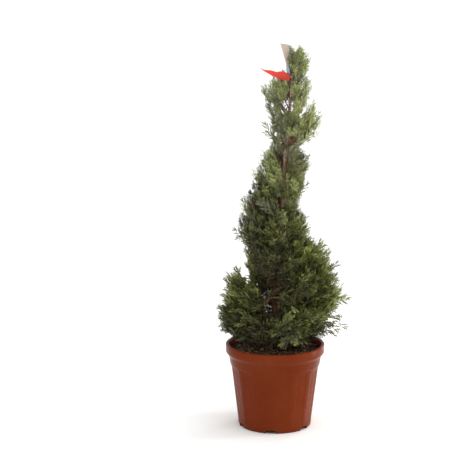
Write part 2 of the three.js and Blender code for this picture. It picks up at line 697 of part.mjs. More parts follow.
const label = new THREE.Group();
label.position.copy(labelPlace());
LABEL_PANELS.forEach((panel) => label.add(mesh(panel.name, labelGeometry(panel), LABEL_FINISH[panel.name])));
topiary.add(label);

export default topiary;
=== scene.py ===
import math

import bmesh
import bpy
import numpy as np
from mathutils import Matrix, Vector


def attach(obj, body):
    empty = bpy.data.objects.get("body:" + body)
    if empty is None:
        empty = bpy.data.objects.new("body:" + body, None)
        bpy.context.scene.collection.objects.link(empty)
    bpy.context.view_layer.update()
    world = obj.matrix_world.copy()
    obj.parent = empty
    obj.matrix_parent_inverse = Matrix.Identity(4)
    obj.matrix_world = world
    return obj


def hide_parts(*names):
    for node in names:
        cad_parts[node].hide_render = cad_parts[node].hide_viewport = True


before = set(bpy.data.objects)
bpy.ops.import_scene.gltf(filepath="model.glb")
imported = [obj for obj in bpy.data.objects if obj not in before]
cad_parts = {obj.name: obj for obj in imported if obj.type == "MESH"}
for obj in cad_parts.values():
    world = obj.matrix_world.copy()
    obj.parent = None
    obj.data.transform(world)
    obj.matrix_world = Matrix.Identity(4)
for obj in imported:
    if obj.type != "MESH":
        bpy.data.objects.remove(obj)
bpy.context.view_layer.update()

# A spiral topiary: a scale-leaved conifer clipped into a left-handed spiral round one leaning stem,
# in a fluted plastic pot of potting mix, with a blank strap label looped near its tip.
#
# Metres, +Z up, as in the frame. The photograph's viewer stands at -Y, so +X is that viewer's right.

TURN = 2 * math.pi
SEED = 5

# Camera
CAMERA_PLACE = (-0.14184, -4.90903, 1.538)
CAMERA_PITCH = math.radians(79.022)
CAMERA_LENS = 139.585
CAMERA_SENSOR = 36
CAMERA_FAR = 200

# Pot
POT_HEIGHT = 0.2415
POT_FLUTES = 14
FLUTE_COLUMNS = 20
FLUTE_DEPTH = 0.0016
FLUTE_START = 0.008
FLUTE_FADE = 0.02
FLUTE_PHASE = math.radians(-92)
RIDGE_HALF = 0.08  # of a flute, the flat top of a ridge
RIDGE_FLANK = 0.22  # of a flute, from a ridge down to the panel
ARCH_HEIGHT = 0.006  # the panels' upper edges are low arches
ARCH_SPRING = 0.003  # below the body's top
ARCH_FADE = 0.004
WALL = 0.003
FOOT_RADIUS = 0.1045
BODY_SLOPE = 0.126
BODY_TOP = 0.181
LEDGE = 0.0025  # under the collar
LEDGE_RISE = 0.003
COLLAR_RADIUS = 0.1333
COLLAR_TOP = 0.207
RIM_RADIUS = 0.1425
RIM_FACE_BOTTOM = 0.219
RIM_INNER_RADIUS = 0.134
EDGE_ROUNDING = 0.0022
PAD_RADIUS = 0.052
CHANNEL_HEIGHT = 0.0095
CHANNEL_FLANK = 0.006
FOOT_BAND = (0.014, 0.011, 0.0035)  # from the foot's edge in: the channel, the band's inside, its outside
FLOOR_TOP = 0.0135
NOTCHES = 6
NOTCH_WIDTH = 0.034
NOTCH_TOP_WIDTH = 0.025
NOTCH_HEIGHT = 0.0105
NOTCH_LIP = 0.2  # of the foot's rounding that is left over a notch
FOOT_INSIDE = 0.072  # a radius between the pad and the foot
FOOT_OUTSIDE = 0.0975  # a radius within the foot's band
NOTCH_PHASE = math.radians(-97.5)
OUTSIDE_SLACK = 0.0006  # inside the body's outer face
POT_SHARP = math.radians(38)

# Soil
SOIL_EDGE = 0.221
SOIL_TOP = 0.231
SOIL_GAP = 0.0004  # to the pot's wall
SOIL_LIFT = 0.0003  # over the pot's floor
SOIL_RINGS = 70
RING_POWER = 0.85  # the rings stand closer together outside
SOIL_COLUMNS = 180
SOIL_CROWN = [(0, SOIL_TOP), (0.02, SOIL_TOP), (0.07, SOIL_EDGE + 0.007), (RIM_INNER_RADIUS, SOIL_EDGE)]
SOIL_RELIEF = 0.0032
CALM_MIDDLE = (0.012, 0.03)  # the relief grows from this radius, over this width
SOIL_WAVES = [0.05, 0.023, 0.011, 0.006]
WAVES_EACH = 5  # of each size, in all directions
WAVES_TOP = 2.2  # about how high the five rise together
CHIPS = 3000
CHIP_MARGIN = 0.004
CHIP_LENGTHS = (0.0013, 0.0036)  # halves
CHIP_WIDTHS = (0.4, 0.8)  # of the length
CHIP_THICKNESSES = (0.15, 0.45)
CHIP_CORNERS = (0.55, 1.15)  # how far in or out each corner stands
CHIP_SWIRL = 900  # how fast the chips' directions change outwards
LARGE_CHIPS = 0.06  # the share of the chips that are LARGER times larger
LARGER = 1.7
CHIP_TILT = 0.28
CHIP_STEPS = [0.58, 0.88, 0.98]  # the lightness from which chips take the next tint
LIGHTER_LEFT = 0.55  # how much lighter they are at the front left
MOSS_TUFTS = 420
MOSS_CLUMPS = 12
MOSS_BLADES = 7
MOSS_SIDE = math.radians(-125)
MOSS_RINGS = (0.07, 0.122)
MOSS_EDGE = 0.125
MOSS_LENGTHS = (0.002, 0.0048)
MOSS_HALF = 0.0005
MOSS_SUNK = 0.0005

# Trunk
TRUNK_BASE = 0.2313
TRUNK_TIP = 1.08
TRUNK_FOOT_X = -0.007
TRUNK_LEAN = 0.058
LEAN_POWER = 1.3
TRUNK_SWAY = 0.004
TRUNK_RADIUS = 0.0094
TRUNK_TIP_RADIUS = 0.0014
TAPER_POWER = 0.7
ROOT_FLARE = 0.005
FLARE_HEIGHT = 0.013
TRUNK_SUNK = 0.003  # below the soil's relief
TRUNK_SIDES = 28
TRUNK_STEPS = 420
TRUNK_RELIEF = 0.075  # of its radius
SHREDS = [(3, 1), (5, 0.8), (9, 0.6), (13, 0.45)]  # how many waves of bark round a stem, how high
SHRED_LENGTHS = (0.11, 0.037)

# Spiral: the open groove falls from right to back to left to front, seen from above. Turns are
# counted down the groove from the right-hand side, so 0.25 is the back and 0.75 the front.
GROOVE_TOP = 0.97
PITCH = 0.337
FRONT_LIFT = 0.022
GROOVE_HALF = [(0, 0.01), (0.3, 0.044), (0.9, 0.05), (1.3, 0.032), (2, 0.026)]
GROOVE_END = 1.92
GROOVE_NARROWING = 0.8
TIP_PITCH = 0.06
GROOVE_ROUNDING = 0.04
CROWN_TOP = [(0.25, 1.082), (0.42, 1.0), (0.55, 0.972), (0.72, 0.95), (0.9, 0.965), (1.0, 0.99)]
SKIRT = 0.25
THINNEST = 0.008
RISE_LOW = 0.04
RISE_HIGH = 1.25
FIRST_TURN = -0.6
MASS_TURNS = [0.25, 0.58, 0.92, 1.25, 1.58, 1.92, 2.25, 2.58, 2.92]
TIERS = [1, 1, 1, 2, 2, 2, 2, 2, 1]

# The clipped outline: (height, x) of its left and right edges, and (height, reach) to front and back
LEFT_EDGE = [
    (0.25, -0.12), (0.272, -0.162), (0.345, -0.162), (0.405, -0.148), (0.436, -0.142), (0.452, -0.11),
    (0.475, -0.098), (0.495, -0.085), (0.52, -0.098), (0.56, -0.104), (0.59, -0.106), (0.64, -0.092),
    (0.7, -0.084), (0.718, -0.066), (0.755, -0.055), (0.798, -0.038), (0.815, -0.015), (0.85, -0.014),
    (0.872, -0.027), (0.892, -0.012), (0.918, -0.018), (0.935, -0.038), (0.99, -0.042), (1.005, -0.016),
    (1.028, -0.004), (1.04, 0.028), (1.095, 0.032),
]
RIGHT_EDGE = [
    (0.245, 0.132), (0.29, 0.16), (0.311, 0.138), (0.325, 0.148), (0.35, 0.184), (0.43, 0.184),
    (0.455, 0.17), (0.5, 0.163), (0.544, 0.13), (0.553, 0.101), (0.605, 0.087), (0.64, 0.074),
    (0.652, 0.054), (0.664, 0.06), (0.695, 0.084), (0.74, 0.078), (0.76, 0.092), (0.8, 0.094),
    (0.812, 0.062), (0.824, 0.062), (0.845, 0.11), (0.915, 0.121), (0.935, 0.113), (0.948, 0.096),
    (1.01, 0.09), (1.028, 0.084), (1.05, 0.097), (1.078, 0.088), (1.1, 0.06),
]
FRONT_REACH = [
    (0.245, 0.085), (0.275, 0.125), (0.32, 0.155), (0.4, 0.168), (0.46, 0.145), (0.52, 0.122), (0.6, 0.1),
    (0.68, 0.086), (0.76, 0.078), (0.82, 0.064), (0.9, 0.07), (0.98, 0.066), (1.02, 0.05), (1.05, 0.04),
    (1.09, 0.032),
]
EDGE_FRAY = 0.008
REACH_STEP = 0.005
REACH_STEPS = 48
EDGE_OVERLAP = 0.012  # from the band's upper side up, where the rounding starts
EDGE_DRAW = 0.45  # how far the groove's edges draw in

# Where the photograph shows sky through the crown: ellipses on the stem's plane as (x, z, half width,
# half height). No spray stands in the way of a sight line through them.
SKY_GAPS = [
    (0.025, 0.936, 0.008, 0.013), (-0.012, 0.931, 0.005, 0.007), (0.016, 0.913, 0.005, 0.008),
    (0.044, 0.921, 0.005, 0.006), (0.068, 0.902, 0.004, 0.009), (0.078, 0.92, 0.006, 0.009),
    (0.094, 0.942, 0.008, 0.008), (0.024, 1.015, 0.004, 0.004), (-0.001, 0.85, 0.004, 0.006),
    (0.016, 0.825, 0.004, 0.005), (0.002, 0.67, 0.005, 0.005), (-0.03, 0.568, 0.003, 0.003),
    (-0.088, 0.45, 0.013, 0.016), (-0.079, 0.424, 0.006, 0.014), (0.158, 0.31, 0.012, 0.006),
    (0.092, 0.729, 0.01, 0.011), (0.088, 0.674, 0.013, 0.013),
]
SPECK_CENTRE = (-0.03, 0.352)  # many small gaps left of the stem's foot
SPECK_SPREAD = (0.024, 0.04)
SPECKS = 44
SPECK_SIZES = (0.0026, 0.0066)

SPARSE_PLACE = (-0.02, 0.355, 0.048, 0.062)  # an ellipse by the stem's foot where the crown is thin
SPARSE_SHARE = 0.88  # of the sprays that are missing there

# Where it shows the bare stem or the label: ellipses in front of which nothing grows
OPEN_FRONTS = [
    (0.037, 0.944, 0.009, 0.028), (0.023, 0.756, 0.007, 0.052), (0.016, 0.654, 0.008, 0.018),
    (-0.005, 0.35, 0.011, 0.024), (0.001, 0.434, 0.005, 0.026), (0.044, 0.834, 0.018, 0.012),
    (-0.006, 1.024, 0.056, 0.015), (0.019, 1.085, 0.016, 0.03), (0.028, 1.034, 0.01, 0.018),
    (0.045, 1.013, 0.01, 0.006),
]
BEHIND_STEM = 0.004  # behind the stem's middle, up to which sprays count as in front of it

# Branches, twigs and sprays
BRANCH_SPACING = 0.046  # between branches, half way out
BRANCH_SHARE = 0.74  # of the reach
BRANCH_RADIUS = 0.0022
BRANCH_TIP_RADIUS = 0.0008
BRANCH_STEPS = 9
BRANCH_SIDES = 5
BRANCH_WANDER = 0.02
BOUGH_RADIUS = 0.0034
BOUGH_TAPER = 0.72  # of its radius, that it loses on its way out
BOUGH_FLARE = 0.0012
BOUGH_SHARE = 0.72  # of the reach
BOUGH_STEPS = 26
BOUGH_SIDES = 12
BOUGH_WANDER = 0.012
BOUGH_RELIEF = 0.06
TWIG_RADIUS = 0.0009
TWIG_TIP_RADIUS = 0.0005
TWIG_STEPS = 5
TWIG_BEND = 0.35  # of its span, how far it runs on before it turns
TWIG_DETOUR = 4  # how far round a twig goes so that it needn't run back to the stem
SPRAY_SHARE = 0.62  # a spray's length over the reach
SPRAY_SHORTEST = 0.038
SPRAY_LONGEST = 0.102
SPRAY_SPREAD = 0.38  # how far they lean any way
SPRAY_UPTURN = 1.2  # how far they lean upwards near the plant's tip
SPRAY_TURN = 0.9  # how far sprays turn about their own line
SPRAY_BEND = 0.1
SPRAY_LENGTHS = (0.8, 1.25)
SPRAY_SWIRL = 0.55  # how far sprays turn aside, round the stem
SHELL_SPACING = 0.0126  # between the outermost tips
THINNING = 0.25  # of the sprays, towards the plant's tip
LAYERS = [(0.88, 1.04, 1), (0.62, 0.9, 0.6), (0.34, 0.66, 0.4)]  # from, to, how many
LAYER_SHIFT = 977  # where each layer starts in the even spread
FIRST_POINT = 13
SPRAY_KINDS = 12
SHOOTS = 8  # of a spray, besides the one at its end
SHOOT_LEANS = (20, 36)  # degrees, from the spray's stem
SHOOT_ROLL = 0.38  # how far shoots turn out of the spray's plane
SHOOT_STEPS = [0.35, 0.4, 0.25]  # the shares of shoots a tint darker, as the spray, a tint lighter
FINGER_LEANS = (20, 40)  # degrees, from the shoot
STEM_CURVE = 0.07  # these six are shares of a spray's length
STEM_HALF = 0.011
SHOOT_HALF = 0.013
FINGER_SPACING = 0.08
FINGER_LENGTH = 0.115
FINGER_HALF = 0.0112
YOUNG = 0.72  # how far out on its spray a triangle takes the next lighter tint
FURTHEST = 1.055  # of the reach, where sprays may end
FURTHEST_LEFT = -0.166
NEAR_STEM = 0.014  # the radius within which they may stand anywhere
TIP_SLACK = 0.003  # over the band's sides
MIDDLE_SLACK = 0.01

# Points of a spray that have to lie in the band: (along, aside) as shares of its length
HELD_IN = [(0.3, 0), (0.5, 0.22), (0.5, -0.22), (0.75, 0.16), (0.75, -0.16)]
SEEN_AT = (0.55, 0.8, 1)  # along it, where it mustn't hide a gap

CLUMPING = 0.75  # how far sprays radiate from the middle of their branch
CLUMP_HALF = 0.03  # how far off their branch's line sprays count as between clumps
CREVICE = 0.35  # how far tips draw in between clumps
CREVICE_SHADE = 1.1  # how many tints darker sprays are between clumps
CLUMP_TONE = 0.45  # how many tints clumps differ by
SPRAY_TONE = 0.45  # how many tints sprays differ by
SKIRT_SHADE = (1.5, 0.335, 0.07)  # how many tints darker sprays are below a height, and over how far
PAINTED_HAZE = (0.52, 0.42)  # the height from which some sprays take the paler, greyer copies as painted haze of light, and over how far all do
OUTER_RUST = 0.006  # the share of dead sprays outside

# Painted light on the right-hand side, where sprays are lighter: by how many tints, from which x, over, from
# which z, over
SUNNY = [(1.4, 0.03, 0.09, 0.26, 0.1), (2, 0.02, 0.12, 0.8, 0.1)]

# Each stray's sprays: (how far back, how far aside) as shares of its length
STRAY_SPRAYS = [(0, 0), (0.3, 0.28), (0.34, -0.28), (0.6, 0.1)]

# Sprays that stray out of the outline or into the groove: the tip's (x, y, z), the direction, the length
STRAYS = [
    ((-0.124, -0.02, 0.583), (-0.85, 0, 0.5), 0.07), ((-0.036, -0.01, 0.884), (-0.6, 0, 0.8), 0.06),
    ((0.095, 0.01, 0.708), (0.78, 0, 0.62), 0.085), ((0.083, 0, 0.7), (0.85, 0, 0.4), 0.07),
    ((0.216, 0.02, 0.358), (0.95, 0, -0.18), 0.105), ((0.203, -0.01, 0.383), (0.92, 0, 0.3), 0.1),
    ((0.196, 0.03, 0.368), (0.95, 0.1, 0.05), 0.09), ((0.207, 0, 0.276), (0.86, 0, -0.5), 0.105),
    ((0.186, -0.02, 0.285), (0.9, 0, -0.4), 0.1), ((0.17, 0.02, 0.292), (0.95, 0, -0.25), 0.09),
    ((-0.16, 0, 0.298), (-0.97, 0, -0.16), 0.085), ((-0.158, 0.02, 0.345), (-0.95, 0, 0.15), 0.085),
    ((-0.145, -0.01, 0.438), (-0.6, 0, 0.8), 0.08), ((-0.113, 0.01, 0.466), (-0.3, 0, 0.95), 0.08),
    ((0.01, -0.125, 0.262), (-0.6, -0.35, -0.62), 0.1), ((0.06, -0.122, 0.268), (0.3, -0.4, -0.75), 0.055),
    ((-0.01, -0.135, 0.3), (-0.75, -0.5, 0.1), 0.085), ((0.05, -0.03, 0.8), (0.4, -0.2, 0.85), 0.055),
    ((0.066, -0.03, 0.788), (0.5, -0.2, 0.8), 0.055), ((0.076, -0.028, 0.764), (0.6, -0.2, 0.75), 0.055),
    ((0.054, -0.036, 0.772), (0.4, -0.3, 0.85), 0.055), ((0.06, -0.032, 0.746), (0.5, -0.3, 0.75), 0.055),
    ((0.08, -0.026, 0.738), (0.65, -0.2, 0.65), 0.055), ((0.046, -0.036, 0.744), (0.35, -0.35, 0.85), 0.05),
    ((0.094, 0, 1.062), (0.85, 0, 0.45), 0.045), ((0.092, -0.01, 1.042), (0.9, 0, 0.25), 0.045),
    ((0.11, 0, 0.85), (0.9, 0, 0.25), 0.055), ((0.131, 0, 0.551), (0.5, 0, 0.85), 0.07),
    ((0.152, 0, 0.524), (0.6, 0, 0.75), 0.07), ((0.178, -0.015, 0.268), (0.85, 0, -0.45), 0.08),
    ((0.088, -0.005, 1.018), (0.85, 0, 0.5), 0.045), ((0.09, 0, 1.078), (0.6, 0, 0.75), 0.045),
    ((0.062, -0.183, 0.392), (0.25, -0.95, 0.15), 0.085), ((0.104, -0.165, 0.35), (0.5, -0.85, 0), 0.085),
    ((-0.062, -0.174, 0.388), (-0.3, -0.95, 0.15), 0.08), ((0.03, -0.183, 0.432), (0.1, -0.95, 0.35), 0.08),
]


def trunk_share(z):
    return rising(z, TRUNK_BASE, TRUNK_TIP - TRUNK_BASE)


def trunk_axis(z):
    z = np.asarray(z, float)
    x = TRUNK_FOOT_X + TRUNK_LEAN * trunk_share(z) ** LEAN_POWER
    y = TRUNK_SWAY * np.sin(TURN * (z - TRUNK_BASE) / PITCH)
    return np.stack([x, y, z], axis=-1)


def trunk_radius(z):
    taper = (TRUNK_RADIUS - TRUNK_TIP_RADIUS) * (1 - trunk_share(z)) ** TAPER_POWER
    return TRUNK_TIP_RADIUS + taper + ROOT_FLARE * np.exp(-(np.asarray(z) - TRUNK_BASE) / FLARE_HEIGHT)


def along(pairs, value):
    """The second number of a list of pairs, at a value between the first ones."""
    keys, values = zip(*pairs)
    return np.interp(value, keys, values)


def mix(low, high, share):
    return low + (high - low) * share


def rising(value, start, over):
    """From 0 at start to 1 further on."""
    return np.clip((value - start) / over, 0, 1)


def polar(r, angle, z):
    """Points at a distance and an angle round the upright axis."""
    return np.stack(np.broadcast_arrays(r * np.cos(angle), r * np.sin(angle), z), axis=-1)


def angles_round(sides):
    return TURN * np.arange(sides) / sides


def crown_reach(turn, z):
    """How far the clipped crown reaches from the trunk."""
    x = trunk_axis(z)[..., 0]
    to_right = np.cos(TURN * turn)
    side = np.where(to_right > 0, along(RIGHT_EDGE, z) - x, x - along(LEFT_EDGE, z))
    return mix(along(FRONT_REACH, z), side + EDGE_FRAY, to_right ** 2)


RISE_PER_METRE = (RISE_HIGH - RISE_LOW) / (along(CROWN_TOP, 0) - SKIRT)


def rise_at(root):
    """The slope of a branch that leaves the trunk at the height root."""
    return RISE_LOW + RISE_PER_METRE * (root - SKIRT)


def groove_at(turn):
    lift = FRONT_LIFT * np.maximum(0, -np.sin(TURN * turn))
    return GROOVE_TOP - np.where(turn < 0, TIP_PITCH * turn, PITCH * turn - lift)


def half_at(turn, share):
    return along(GROOVE_HALF, turn) * (1 - GROOVE_NARROWING * share)


def band_bottom(turn, share):
    """The lower side of the foliage's band, as a root, at a share of the way out."""
    return np.where(turn > GROOVE_END, SKIRT, np.maximum(groove_at(turn) + half_at(turn, share), SKIRT))


def band_top(turn, share):
    clipped = along(CROWN_TOP, turn)
    above = groove_at(turn - 1) - half_at(turn - 1, share)
    return np.where(turn < FIRST_TURN + 1, clipped, np.minimum(above, clipped))


def point_at(turn, root, r):
    """The point of a branch at the distance r from the trunk."""
    return trunk_axis(root + rise_at(root) * r) + polar(r, TURN * turn, 0)


def place_of(points):
    """The turn, root and distance of points: point_at turned round."""
    x, y, _ = np.moveaxis(points - trunk_axis(points[..., 2]), -1, 0)
    r = np.hypot(x, y)
    root = (points[..., 2] - r * (RISE_LOW - RISE_PER_METRE * SKIRT)) / (1 + r * RISE_PER_METRE)
    return np.arctan2(y, x) / TURN, root, r


def reach_at(turn, root):
    """The reach along one branch, up to where it first leaves the outline. The groove above and below
    rounds it off."""
    turn, root = np.broadcast_arrays(np.asarray(turn, float), np.asarray(root, float))
    r = REACH_STEP * np.arange(1, REACH_STEPS + 1)
    room = crown_reach(turn[..., None], root[..., None] + rise_at(root)[..., None] * r) - r
    first = np.argmax(room < 0, axis=-1)
    after = np.take_along_axis(room, first[..., None], axis=-1)[..., 0]
    before = np.take_along_axis(room, np.maximum(first - 1, 0)[..., None], axis=-1)[..., 0]
    reach = r[first] - REACH_STEP * after / np.minimum(after - before, -1e-9)
    depth = np.minimum(root - band_bottom(turn, 1), band_top(turn, 1) + EDGE_OVERLAP - root)
    share = rising(depth, 0, GROOVE_ROUNDING)
    return np.maximum(reach, REACH_STEP) * np.sqrt(1 - EDGE_DRAW * (1 - share) ** 2)


def sight_gaps():
    """All the gaps for sky, with the small ones by the stem's foot."""
    random = np.random.default_rng(SEED + 20)
    where = random.normal(0, 1, (SPECKS, 2)) * SPECK_SPREAD + SPECK_CENTRE
    size = random.uniform(*SPECK_SIZES, (SPECKS, 2))
    return np.concatenate([SKY_GAPS, np.hstack([where, size])])


def seen_in(points, ellipses):
    """Which points the camera sees in any of the ellipses on the stem's plane."""
    ellipses = np.array(ellipses)
    sight = (points[..., 1] - CAMERA_PLACE[1])[..., None]
    x = CAMERA_PLACE[0] + (points[..., :1] - CAMERA_PLACE[0]) * -CAMERA_PLACE[1] / sight
    z = CAMERA_PLACE[2] + (points[..., 2:] - CAMERA_PLACE[2]) * -CAMERA_PLACE[1] / sight
    across = (x - ellipses[:, 0]) / ellipses[:, 2]
    upwards = (z - ellipses[:, 1]) / ellipses[:, 3]
    return (across ** 2 + upwards ** 2 < 1).any(axis=-1)


def in_a_gap(points):
    """Which points hide a gap for sky, or the stem or the label where they show."""
    in_front = points[..., 1] < trunk_axis(points[..., 2])[..., 1] + BEHIND_STEM
    return seen_in(points, sight_gaps()) | (seen_in(points, OPEN_FRONTS) & in_front)


class Mass:
    """One span of the foliage's band, in one storey, named as the node it stands for."""

    def __init__(self, k, tier):
        coil = ["top", "upper", "lower"][k // 3]
        side = ["right", "left", "front"][k % 3]
        storey = ["_low", "_high"][tier] if TIERS[k] > 1 else ""
        self.name = coil + "_" + side + storey
        self.start = MASS_TURNS[k - 1] if k else FIRST_TURN
        self.end = MASS_TURNS[k]
        self.middle = (self.start + self.end) / 2
        self.tier = tier
        self.tiers = TIERS[k]

    def level(self, turn, share, t):
        """The root at a share of the way out and a share t of the storey's height."""
        low = band_bottom(turn, share)
        high = np.maximum(band_top(turn, share), low + THINNEST)
        return mix(low, high, (self.tier + t) / self.tiers)

    def bough_root(self):
        return float(self.level(self.middle, 0.3, 0.25))

    def shell_area(self):
        turn, t = np.meshgrid(np.linspace(self.start, self.end, 9), [0.25, 0.75])
        root = self.level(turn, 1.0, t)
        reach = reach_at(turn, root)
        height = self.level(turn, 1.0, 1.0) - self.level(turn, 1.0, 0.0)
        rise = 1 + RISE_PER_METRE * reach
        return float(np.mean(reach * height * rise) * TURN * (self.end - self.start))


def masses():
    return [Mass(k, tier) for k in range(len(TIERS)) for tier in range(TIERS[k])]


def nearest_mass(point):
    """The name of the mass whose band passes nearest to a point."""
    turn, root, _ = place_of(point)

    def away(mass):
        wound = turn + round(mass.middle - float(turn))
        middle = float(mass.level(wound, 1.0, 0.5))
        return abs(root - middle) + 10 * max(0, abs(wound - mass.middle) - (mass.end - mass.start) / 2)

    return min(masses(), key=away).name


def in_band(points, slack):
    """Which points lie in the foliage's band, on any of its coils, and within its reach, or by the stem."""
    turn, root, r = place_of(points)
    found = r < NEAR_STEM
    for coil in range(-1, 4):
        wound = turn + coil
        there = (wound > FIRST_TURN) & (wound < MASS_TURNS[-1])
        reach = reach_at(wound, root)
        share = np.minimum(r / reach, 1)
        above = root > band_bottom(wound, share) - slack
        below = root < band_top(wound, share) + slack
        found |= there & above & below & (r < FURTHEST * reach)
    return found


# Meshes from arrays

def unit(vectors):
    return vectors / np.maximum(np.linalg.norm(vectors, axis=-1, keepdims=True), 1e-12)


def add_object(name, data):
    made = bpy.data.objects.new(name, data)
    bpy.context.scene.collection.objects.link(made)
    return made


def add_to_plant(name, mesh, node=None):
    """The object of a mesh, riding on the part's one body, in place of a node where one is named."""
    made = add_object(name, mesh)
    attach(made, "root")
    if node:
        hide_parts(node)
    return made


def piece(name, corners, faces, materials, index=None, smooth=False, node=None):
    """A piece of the plant from its corners and its triangles or quads."""
    mesh = bpy.data.meshes.new(name)
    faces = faces.reshape(-1, faces.shape[-1])
    mesh.vertices.add(corners.size // 3)
    mesh.vertices.foreach_set("co", np.ascontiguousarray(corners, np.float32).ravel())
    mesh.loops.add(faces.size)
    mesh.loops.foreach_set("vertex_index", np.ascontiguousarray(faces, np.int32).ravel())
    mesh.polygons.add(len(faces))
    mesh.polygons.foreach_set("loop_start", np.arange(0, faces.size, faces.shape[1], dtype=np.int32))
    for material in materials:
        mesh.materials.append(material)
    if index is not None:
        mesh.polygons.foreach_set("material_index", np.ascontiguousarray(index, np.int32))
    mesh.polygons.foreach_set("use_smooth", np.full(len(faces), smooth))
    mesh.update(calc_edges=True)
    return add_to_plant(name, mesh, node)


def repeated(faces, corners, count):
    """The faces of a shape that has so many corners, for each of its copies."""
    return (faces + corners * np.arange(count)[:, None, None]).reshape(-1, faces.shape[-1])


def tubes(paths, radii, sides):
    """Closed tubes along paths of equally many points: corners and triangles. There is a radius for each
    path and point, or for each path, point and side."""
    count, steps, _ = paths.shape
    if radii.ndim == 2:
        radii = radii[:, :, None]
    tangent = unit(np.gradient(paths, axis=1))
    upright = np.abs(unit(paths[:, -1] - paths[:, 0])[:, 2:]) > 0.8
    aside = np.where(upright, np.array([1.0, 0, 0]), np.array([0, 0, 1.0]))
    across = unit(np.cross(aside[:, None], tangent))
    up = np.cross(tangent, across)
    angle = angles_round(sides)[:, None]
    ring = np.cos(angle) * across[:, :, None] + np.sin(angle) * up[:, :, None]
    corners = paths[:, :, None] + radii[..., None] * ring
    j = np.arange(sides)
    k = (j + 1) % sides
    walls = []
    for low in range(0, (steps - 1) * sides, sides):
        high = low + sides
        walls.append(np.stack([low + j, low + k, high + k], axis=1))
        walls.append(np.stack([low + j, high + k, high + j], axis=1))
    fan = np.arange(1, sides - 1)
    walls.append(np.stack([0 * fan, fan + 1, fan], axis=1))
    walls.append(np.stack([0 * fan, fan, fan + 1], axis=1) + (steps - 1) * sides)
    return corners.reshape(-1, 3), repeated(np.concatenate(walls), steps * sides, count)


def join(parts):
    """Several (corners, faces) as one."""
    all_corners, all_faces = zip(*parts)
    starts = np.cumsum([0] + [len(corners) for corners in all_corners])
    return np.concatenate(all_corners), np.concatenate([f + start for f, start in zip(all_faces, starts)])


# Materials

def principled(name, colour, roughness, specular=0.5):
    material = bpy.data.materials.new(name)
    material.use_nodes = True
    shader = material.node_tree.nodes["Principled BSDF"]
    shader.inputs["Base Color"].default_value = (*colour, 1)
    shader.inputs["Roughness"].default_value = roughness
    shader.inputs["Specular IOR Level"].default_value = specular
    return material, shader


def node(material, kind, **values):
    """A node with its settings, and the start values of its inputs by their names in lower case."""
    made = material.node_tree.nodes.new(kind)
    for name, value in values.items():
        if hasattr(made, name):
            setattr(made, name, value)
        else:
            made.inputs[name.replace("_", " ").title()].default_value = value
    return made


def link(material, source, target):
    material.node_tree.links.new(source, target)


def pattern(material, scale, detail=6.0, stretch=(1, 1, 1), roughness=0.55):
    """A noise over the object's own coordinates, as a number from 0 to 1."""
    place = node(material, "ShaderNodeTexCoord")
    mapping = node(material, "ShaderNodeMapping", scale=stretch)
    noise = node(material, "ShaderNodeTexNoise", scale=scale, detail=detail, roughness=roughness)
    link(material, place.outputs["Object"], mapping.inputs["Vector"])
    link(material, mapping.outputs["Vector"], noise.inputs["Vector"])
    return noise.outputs["Fac"]


def dye(material, shader, value, stops):
    """Gives a finish its colours by a number: stops are (place, colour)."""
    made = node(material, "ShaderNodeValToRGB")
    elements = made.color_ramp.elements
    while len(elements) < len(stops):
        elements.new(0.5)
    for element, (place, colour) in zip(elements, stops):
        element.position = place
        element.color = (*colour, 1)
    link(material, value, made.inputs["Fac"])
    link(material, made.outputs["Color"], shader.inputs["Base Color"])


def range_of(material, value, low, high, from_low=0.3, from_high=0.7):
    made = node(
        material, "ShaderNodeMapRange", from_min=from_low, from_max=from_high, to_min=low, to_max=high,
    )
    link(material, value, made.inputs["Value"])
    return made.outputs["Result"]


def bump(material, shader, value, strength, distance):
    made = node(material, "ShaderNodeBump", strength=strength, distance=distance)
    link(material, value, made.inputs["Height"])
    link(material, made.outputs["Normal"], shader.inputs["Normal"])


def pot_plastic():
    material, shader = principled("pot_plastic", (0.16, 0.025, 0.005), 0.3, 0.06)
    dust = pattern(material, 9, detail=8)
    tints = [(0.3, (0.145, 0.021, 0.003)), (0.55, (0.165, 0.026, 0.005)), (0.8, (0.185, 0.036, 0.01))]
    dye(material, shader, dust, tints)
    link(material, range_of(material, pattern(material, 26), 0.24, 0.34), shader.inputs["Roughness"])
    bump(material, shader, pattern(material, 420, detail=2), 0.12, 0.0004)
    return material


def potting_mix():
    material, shader = principled("potting_mix", (0.02, 0.013, 0.009), 0.95, 0.2)
    crumbs = pattern(material, 150, detail=10, roughness=0.7)
    tints = [(0.35, (0.026, 0.017, 0.012)), (0.55, (0.08, 0.055, 0.036)), (0.75, (0.19, 0.13, 0.082))]
    dye(material, shader, crumbs, tints)
    bump(material, shader, crumbs, 0.9, 0.003)
    return material


def bark():
    """Reddish shredded bark, greyer and lighter towards the plant's tip."""
    material, shader = principled("bark", (0.2, 0.1, 0.06), 0.85, 0.25)
    shreds = pattern(material, 260, detail=8, stretch=(1, 1, 0.12), roughness=0.65)
    place = node(material, "ShaderNodeTexCoord")
    parts = node(material, "ShaderNodeSeparateXYZ")
    link(material, place.outputs["Object"], parts.inputs["Vector"])
    shift = node(material, "ShaderNodeMath", operation="ADD")
    link(material, shreds, shift.inputs[0])
    link(material, range_of(material, parts.outputs["Z"], 0.0, 0.35, 0.45, 0.95), shift.inputs[1])
    tints = [
        (0.3, (0.25, 0.105, 0.062)), (0.5, (0.44, 0.21, 0.13)), (0.72, (0.6, 0.44, 0.3)),
        (0.95, (0.66, 0.57, 0.41)),
    ]
    dye(material, shader, shift.outputs["Value"], tints)
    bump(material, shader, shreds, 0.8, 0.0012)
    return material
